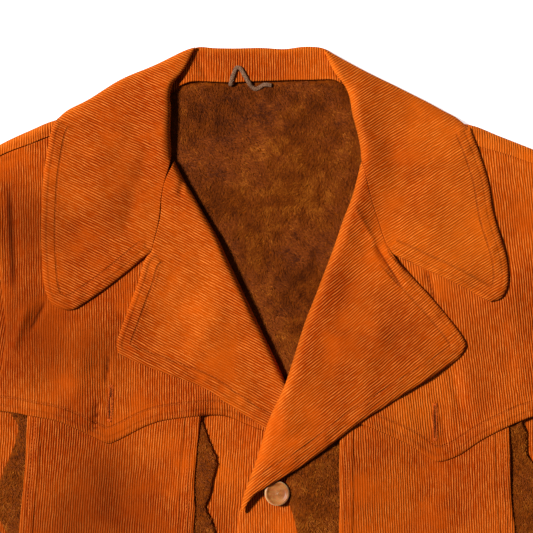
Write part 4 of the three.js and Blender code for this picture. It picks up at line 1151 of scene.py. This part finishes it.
sheet("front_right", (
    [(-26.5, -371), (120, -372), (268, -370)], INNER_SHOULDER_RIGHT,
    joined(FRONT_EDGE_RIGHT, moved(LAPEL_ROLL_RIGHT, -TUCK)[2:], NECK_RIGHT), BODY_RIGHT,
), LINED, 4.2, 92, rolls=[("right", "floor", -1000, 150)], undulation=0.7)
strip("pile_strip_right_inner", PANEL_RIGHT["left"], -1, 18, -5, 74, -5, [
    (16, 76), (13, 40), (12, 16), (14.8, -5.3), (18, -14.4), (21.3, -28.3),
])
strip("pile_strip_right_outer", PANEL_RIGHT["right"], 1, 217, -8, 110, 46, [
    (205, 70), (206.6, 61), (210.2, 54.5), (209.8, 37.7), (214.8, 29), (219, 20),
])
panel("panel_right", PANEL_RIGHT, 92, [
    (150, 30, 125, -50, 0.9, 14), (95, -90, 130, -230, 1.0, 16),
])
yoke("yoke_right", (
    YOKE_LOWER_RIGHT, INNER_SHOULDER_RIGHT,
    joined(moved(LAPEL_ROLL_RIGHT[4:], -TUCK), NECK_RIGHT), ARMHOLE_RIGHT[::-1],
), 96, [
    (127, 188, 134.5, 160, -3.0, 4.5), (134, 160, 147, 112, -0.9, 8),
    (147, 112, 159, 58, -1.8, 6), (158, 115, 170, 62, 1.0, 9), (205, 200, 190, 110, 1.4, 14),
    (188, 150, 200, 90, -1.0, 9), (176, 286, 229, 268, 1.1, 3), (140, 70, 143, 40, -1.6, 4),
    (95, 90, 118, 70, 0.8, 8),
])
shoulder("shoulder_right", [(158, 293)] + SHOULDER_SEAM_RIGHT[::-1], SHOULDER_RIGHT[:5][::-1])


# Buttons

BUTTON_X = 5.0
BUTTON_TOP = 4.5
BUTTON_SPACING = 123.0
BUTTON_RADIUS = 10.25
BUTTON_THICK = 3.0
BUTTON_SIDES = 56


def turned_piece(name, profile, x, y, material):
    """A closed turned piece. Columns of the profile: radius, height."""
    around = BUTTON_SIDES
    angles = np.arange(around) * 2 * math.pi / around
    points = [(x, y, profile[0][1])]
    for radius, height in profile[1:-1]:
        points += [(x + radius * math.cos(a), y + radius * math.sin(a), height) for a in angles]
    points.append((x, y, profile[-1][1]))
    rings = len(profile) - 2
    faces = []
    for k in range(around):
        following = (k + 1) % around
        faces.append((0, 1 + following, 1 + k))
        for ring in range(rings - 1):
            a, b = 1 + ring * around, 1 + (ring + 1) * around
            faces.append((a + k, a + following, b + following, b + k))
        last = 1 + (rings - 1) * around
        faces.append((last + k, last + following, len(points) - 1))
    return mesh_object(name, points, faces, material)


for index in range(3):
    y = BUTTON_TOP - index * BUTTON_SPACING
    angles = np.arange(24) * 2 * math.pi / 24
    ring = np.column_stack([BUTTON_X + BUTTON_RADIUS * np.cos(angles),
                            y + BUTTON_RADIUS * np.sin(angles)])
    centre = np.array([[BUTTON_X, y]])
    foot = float(sample(laid, centre)[0]) + GAP
    seat = max(foot + 1.6, float(sample(laid, ring).max()) + 0.3)
    r, t = BUTTON_RADIUS, BUTTON_THICK
    button = turned_piece(f"button_{index + 1}_resin", [
        (0, foot), (2.2, foot), (2.2, seat), (r - 1.2, seat), (r - 0.3, seat + 0.5),
        (r, seat + 1.3), (r - 0.2, seat + 2.2), (r - 0.9, seat + t - 0.15), (r - 1.5, seat + t),
        (r - 2.1, seat + t - 0.2), (r - 2.9, seat + t - 1.0), (r - 3.9, seat + t - 1.3),
        (2.4, seat + t - 1.0), (0, seat + t - 0.95),
    ], BUTTON_X, y, MATERIALS["resin"])
    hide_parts(f"button_{index + 1}")
    corners = np.array([vertex.co[:2] for vertex in button.data.vertices]) / MM
    give_values(button, "rim", np.linalg.norm(corners - centre[0], axis=1) / r)
    # A pale thread cross through the button, which also serves as a painted glint near its middle
    cross = [[(BUTTON_X + 1.9 * a, y + 1.9 * b, seat + t - 0.9) for a, b in pair]
             for pair in (((-0.8, -0.5), (0.8, 0.5)), ((-0.5, 0.8), (0.5, -0.8)))]
    capsules(f"button_{index + 1}_thread", cross, 0.5, MATERIALS["button_thread_glint"])
    disc = np.linalg.norm(MAP_POINTS - centre[0], axis=-1) < r
    laid[disc] = np.maximum(laid[disc], seat + t)

under_right = laid.copy()
leaf("lapel_right", (
    LAPEL_LOWER_RIGHT, [LAPEL_ROLL_RIGHT[-1]] + moved(GORGE_RIGHT[::-1], -GORGE_GAP)[1:],
    LAPEL_ROLL_RIGHT, LAPEL_OUTER_RIGHT,
), 2.2, 38.5, "right", "high", rolls=[("left", "laid", *ALL)], roll=9, undulation=0.9, tone=0.02,
     lift=lifts(towards(ROLL_RIGHT, 4.2, 24, 0, 90), bump_at(-20, 2, 1.2, 12)), creases=[
    (64, 246, 89, 202, 1.4, 3.2), (82, 213, 109, 170, -2.2, 4), (91, 211, 116, 170, 1.2, 5),
    (60, 232, 84, 192, -0.8, 6), (40, 150, 80, 95, 0.9, 14), (95, 150, 70, 80, 1.0, 14),
    (20, 90, 60, 60, 0.8, 9), (110, 125, 130, 108, 0.9, 6),
])
leaf("collar_right", (
    COLLAR_LOWER_RIGHT, COLLAR_TOP_RIGHT[::-1], joined(GORGE_RIGHT, COLLAR_ROLL_RIGHT),
    COLLAR_OUTER_RIGHT,
), 1.8, 32, "right", "left", nodes=["collar_right", "collar_stand_right"], base=under_right,
     rolls=[("high", "floor", *ALL), ("left", "laid", 277, 1000)], roll=8, undulation=0.7,
     tone=0.06, lift=towards(ROLL_RIGHT, 4.2, 24), creases=[
    (90, 300, 118, 240, -1.2, 12), (130, 315, 150, 250, 1.3, 18), (120, 260, 140, 205, 0.9, 14),
])


# Hanger loop

LOOP_WIDE = 3.4
LOOP_THICK = 1.4
LOOP_RISE = 1.2  # from what it lies on to its middle
LOOP_SIDES = 10


def tube(name, route, across, high, material):
    """A closed cord with an oval section. Columns of the route: x, y, z."""
    sides = LOOP_SIDES
    ahead = np.gradient(route, axis=0)
    ahead /= np.linalg.norm(ahead, axis=1)[:, None]
    aside = np.column_stack([-ahead[:, 1], ahead[:, 0], np.zeros(len(route))])
    aside /= np.linalg.norm(aside, axis=1)[:, None]
    upward = np.cross(ahead, aside)
    turns = np.arange(sides) * 2 * math.pi / sides
    rings = (route[:, None] + aside[:, None] * (across / 2 * np.cos(turns))[None, :, None]
             + upward[:, None] * (high / 2 * np.sin(turns))[None, :, None])
    points = rings.reshape(-1, 3)
    faces = [tuple(range(sides))[::-1],
             tuple((len(route) - 1) * sides + k for k in range(sides))]
    for ring in range(len(route) - 1):
        for k in range(sides):
            a, b = ring * sides + k, ring * sides + (k + 1) % sides
            faces.append((a, b, b + sides, a + sides))
    return mesh_object(name, points, faces, material)


loop_plan = smooth_curve(LOOP_ROUTE, 90)
loop_z = sample(spread(laid), loop_plan) + LOOP_RISE
for _ in range(12):
    loop_z[1:-1] = np.maximum(loop_z[1:-1], (loop_z[:-2] + loop_z[2:]) / 2)
loop = tube("hanger_loop_cord", np.column_stack([loop_plan, loop_z]), LOOP_WIDE, LOOP_THICK,
            MATERIALS["braid"])
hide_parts("hanger_loop")


# Sewing

def stitch_row(name, on, route):
    """A row of machine stitches pressed into a sheet's upper side."""
    tree = surface(SHEETS[on]["piece"].data)
    route = spaced(np.array(route, float), np.linspace(0, 1, int(length_of(route) / STITCH) * 2))
    pairs = []
    for a, b in zip(route[::2], route[1::2]):
        middle, half = (a + b) / 2, (b - a)
        half = half / np.linalg.norm(half) * STITCH_LONG / 2
        ends = [(*(middle + side * half), height_on(tree, *(middle + side * half)))
                for side in (-1, 1)]
        if all(end[2] is not None for end in ends):
            pairs.append([(x, y, z - 0.02) for x, y, z in ends])
    SHEETS[on]["trims"].append(capsules(name, pairs, STITCH_THICK, MATERIALS["thread"]))


def inside_line(on, side, distance, start=0.0, end=1.0):
    """The line a distance inside one side of a sheet."""
    rows = np.array(moved(SHEETS[on]["lines"][side], distance))
    return rows[int(start * len(rows)):max(2, int(end * len(rows)))]


def topstitch(on, sides):
    """Topstitches inside sides that meet, each ending where the other one's band begins."""
    for side, sign in sides:
        rows = inside_line(on, side, sign * TOPSTITCH)
        others = [SHEETS[on]["lines"][other][::3] for other, _ in sides if other != side]
        clear = np.minimum.reduce([distance_to(rows, line) for line in others]) > TOPSTITCH
        stitch_row(f"{on}_topstitch_{side}", on, rows[clear])


for part in ("collar", "lapel"):
    for hand, sign in (("left", -1), ("right", 1)):
        topstitch(f"{part}_{hand}", [("low", 1), (hand, sign)])
for hand in ("left", "right"):
    stitch_row(f"yoke_{hand}_topstitch", f"yoke_{hand}",
               inside_line(f"yoke_{hand}", "low", TOPSTITCH, 0.01, 0.97))
    for side, sign in (("left", -1), ("right", 1)):
        for distance in (4.6, 7.2):
            stitch_row(f"panel_{hand}_stitch_{side}_{int(distance)}", f"panel_{hand}",
                       inside_line(f"panel_{hand}", side, sign * distance))


HOLE_THREADS = 44
HOLE_THREAD_THICK = 0.62


def buttonhole(name, on, x0, y0, x1, y1, open_by):
    """A slit edged with close threads, thicker at both ends."""
    tree = surface(SHEETS[on]["piece"].data)
    start, end = np.array([x0, y0]), np.array([x1, y1])
    ahead = (end - start) / np.linalg.norm(end - start)
    aside = np.array([-ahead[1], ahead[0]])
    pairs = []
    for k in range(HOLE_THREADS + 1):
        t = k / HOLE_THREADS
        centre = start + (end - start) * t
        gape = open_by * math.sin(math.pi * t)
        for sign in (-1, 1):
            near = centre + aside * sign * (gape / 2 + 0.1)
            far = centre + aside * sign * (gape / 2 + 2.0 + 0.15 * math.sin(9 * k))
            pairs.append([(*p, height_on(tree, *p) + 0.12) for p in (near, far)])
    for tip, outward in ((start, -1), (end, 1)):
        for k in range(6):
            middle = tip + ahead * outward * (0.2 + 0.35 * k)
            pairs.append([(*p, height_on(tree, *p) + 0.2)
                          for p in (middle - aside * 2.1, middle + aside * 2.1)])
    made = capsules(name, pairs, HOLE_THREAD_THICK, MATERIALS["buttonhole"])
    # A near-black sheet in the open slit: painted shadow
    slit_shadow = [start + (end - start) * t + aside * sign * open_by / 2 * math.sin(math.pi * t)
            for sign, ts in ((1, np.linspace(0, 1, 12)), (-1, np.linspace(1, 0, 12)[1:-1]))
            for t in ts]
    slit_shadow = [(x, y, height_on(tree, x, y) + 0.08) for x, y in slit_shadow]
    gap = mesh_object(name + "_slit", slit_shadow, [range(len(slit_shadow))[::-1]], MATERIALS["slit_shadow"])
    SHEETS[on]["trims"] += [made, gap]


buttonhole("buttonhole_left", "yoke_left", -130.8, 91, -132.3, 65, 1.25)
buttonhole("buttonhole_right", "yoke_right", 134.5, 76, 134.5, 49.5, 0.8)


# Strands of the pile

def strands(name, on, outline, per_area, lean, long, paleness, seed):
    """Fine curved blades brushed over a pile sheet, about per_area of them to each square millimetre."""
    tree = surface(SHEETS[on]["piece"].data)
    outline = np.array(outline, float)
    low, high = outline.min(axis=0), outline.max(axis=0)
    random = np.random.default_rng(seed)
    count = int((high - low).prod() * per_area)
    roots = random.uniform(low, high, (count, 2))
    roots = roots[inside(roots, outline)]
    heights = [height_on(tree, *root) for root in roots]
    kept = [k for k, height in enumerate(heights) if height is not None]
    roots, heights = roots[kept], np.array([heights[k] for k in kept])
    number = len(roots)
    angle = np.radians(lean + 55 * soft_noise(roots, 34, seed) + 42 * soft_noise(roots, 7, seed + 1)
                       + random.normal(0, 20, number))
    length = long * random.uniform(0.55, 1.15, number)
    rise = long / 5 * random.uniform(0.5, 1.4, number)
    curl = np.radians(random.normal(0, 22, number))
    shade = paleness + 0.18 * soft_noise(roots, 40, seed + 2) + 0.2 * soft_noise(roots, 7, seed + 3)
    shade = np.clip(shade + random.normal(0, 0.13, number), 0, 1)
    ahead = np.column_stack([np.cos(angle), np.sin(angle)])
    later = np.column_stack([np.cos(angle + curl), np.sin(angle + curl)])
    middle = roots + ahead * (length * 0.5)[:, None]
    tip = middle + later * (length * 0.5)[:, None]
    held = inside(tip + 0.5 * later, outline)
    roots, heights, middle, tip, ahead, rise, shade = (
        values[held] for values in (roots, heights, middle, tip, ahead, rise, shade))
    aside = np.column_stack([-ahead[:, 1], ahead[:, 0]]) * STRAND_WIDE / 2
    points = np.stack([
        np.column_stack([roots - aside, heights - 0.2]),
        np.column_stack([roots + aside, heights - 0.2]),
        np.column_stack([middle - aside, heights + rise]),
        np.column_stack([middle + aside, heights + rise]),
        np.column_stack([tip, heights + rise * 0.9]),
    ], axis=1).reshape(-1, 3)
    base = np.arange(len(roots))[:, None] * 5
    faces = np.vstack([base + [0, 1, 3], base + [0, 3, 2], base + [2, 3, 4]])
    made = mesh_object(name, points, faces.tolist(), MATERIALS["strands"])
    give_values(made, "shade", np.repeat(shade, 5))
    SHEETS[on]["trims"].append(made)


NECK_OPENING = [
    (-90, 341), (-54, 342), (24, 343.5), (62, 343), (78, 318), (78, 270), (50, 190), (14, 84),
    (-40, 190), (-80, 262), (-92, 300),
]
LINING_SEED = 51
STRIP_SEED = 60
strands("lining_strands", "back_lining", NECK_OPENING, 1.75, -70, 4.2, 0.46, LINING_SEED)
for index, name in enumerate(name for name in SHEETS if name.startswith("pile_strip")):
    paleness = 0.62 if "right" in name else 0.46
    strands(name + "_strands", name, SHEETS[name]["outline"], 0.85, -80, 3.2, paleness,
            STRIP_SEED + index)

for name in SHEETS:
    declare_cut(name)


# Camera and light

AIM = (-3.7 * MM, 190.2 * MM)
FRAME = 437 * MM
SENSOR = 36
CAMERA_HEIGHT = 2.4
CLOTH_HEIGHT = 0.014  # where the frame is measured
FLOOR_REACH = 2.5
FLOOR_TOP = -0.3 * MM

paper, _, paper_shader = new_material("floor")
paper_shader.inputs["Base Color"].default_value = (0.6, 0.6, 0.6, 1)
paper_shader.inputs["Emission Color"].default_value = (1, 1, 1, 1)
paper_shader.inputs["Emission Strength"].default_value = 0.72
paper_shader.inputs["Roughness"].default_value = 0.9
floor_mesh = bpy.data.meshes.new("floor")
floor_mesh.from_pydata([(x * FLOOR_REACH, y * FLOOR_REACH, FLOOR_TOP)
                        for x, y in ((-1, -1), (1, -1), (1, 1), (-1, 1))], [], [(0, 1, 2, 3)])
floor_mesh.materials.append(paper)
linked("floor", floor_mesh)

lens = bpy.data.cameras.new("camera")
lens.sensor_width = SENSOR
lens.lens = SENSOR * (CAMERA_HEIGHT - CLOTH_HEIGHT) / FRAME
camera = linked("camera", lens)
camera.location = (*AIM, CAMERA_HEIGHT)
scene = bpy.context.scene
scene.camera = camera


def lamp(name, azimuth, elevation, distance, size, power):
    """A square lamp that faces the garment, its bearing in degrees from +X."""
    data = bpy.data.lights.new(name, "AREA")
    data.size = size
    data.energy = power
    made = linked(name, data)
    a, e = math.radians(azimuth), math.radians(elevation)
    away = Vector((math.cos(e) * math.cos(a), math.cos(e) * math.sin(a), math.sin(e)))
    made.location = Vector((*AIM, 0)) + distance * away
    made.rotation_euler = away.to_track_quat("Z", "Y").to_euler()


lamp("key", 166, 50, 7.0, 1.0, 985)
world = bpy.data.worlds.new("studio")
world.use_nodes = True
sky = world.node_tree.nodes["Background"]
sky.inputs["Color"].default_value = (1, 1, 1, 1)
sky.inputs["Strength"].default_value = 0.12
scene.world = world
scene.view_settings.view_transform = "Standard"
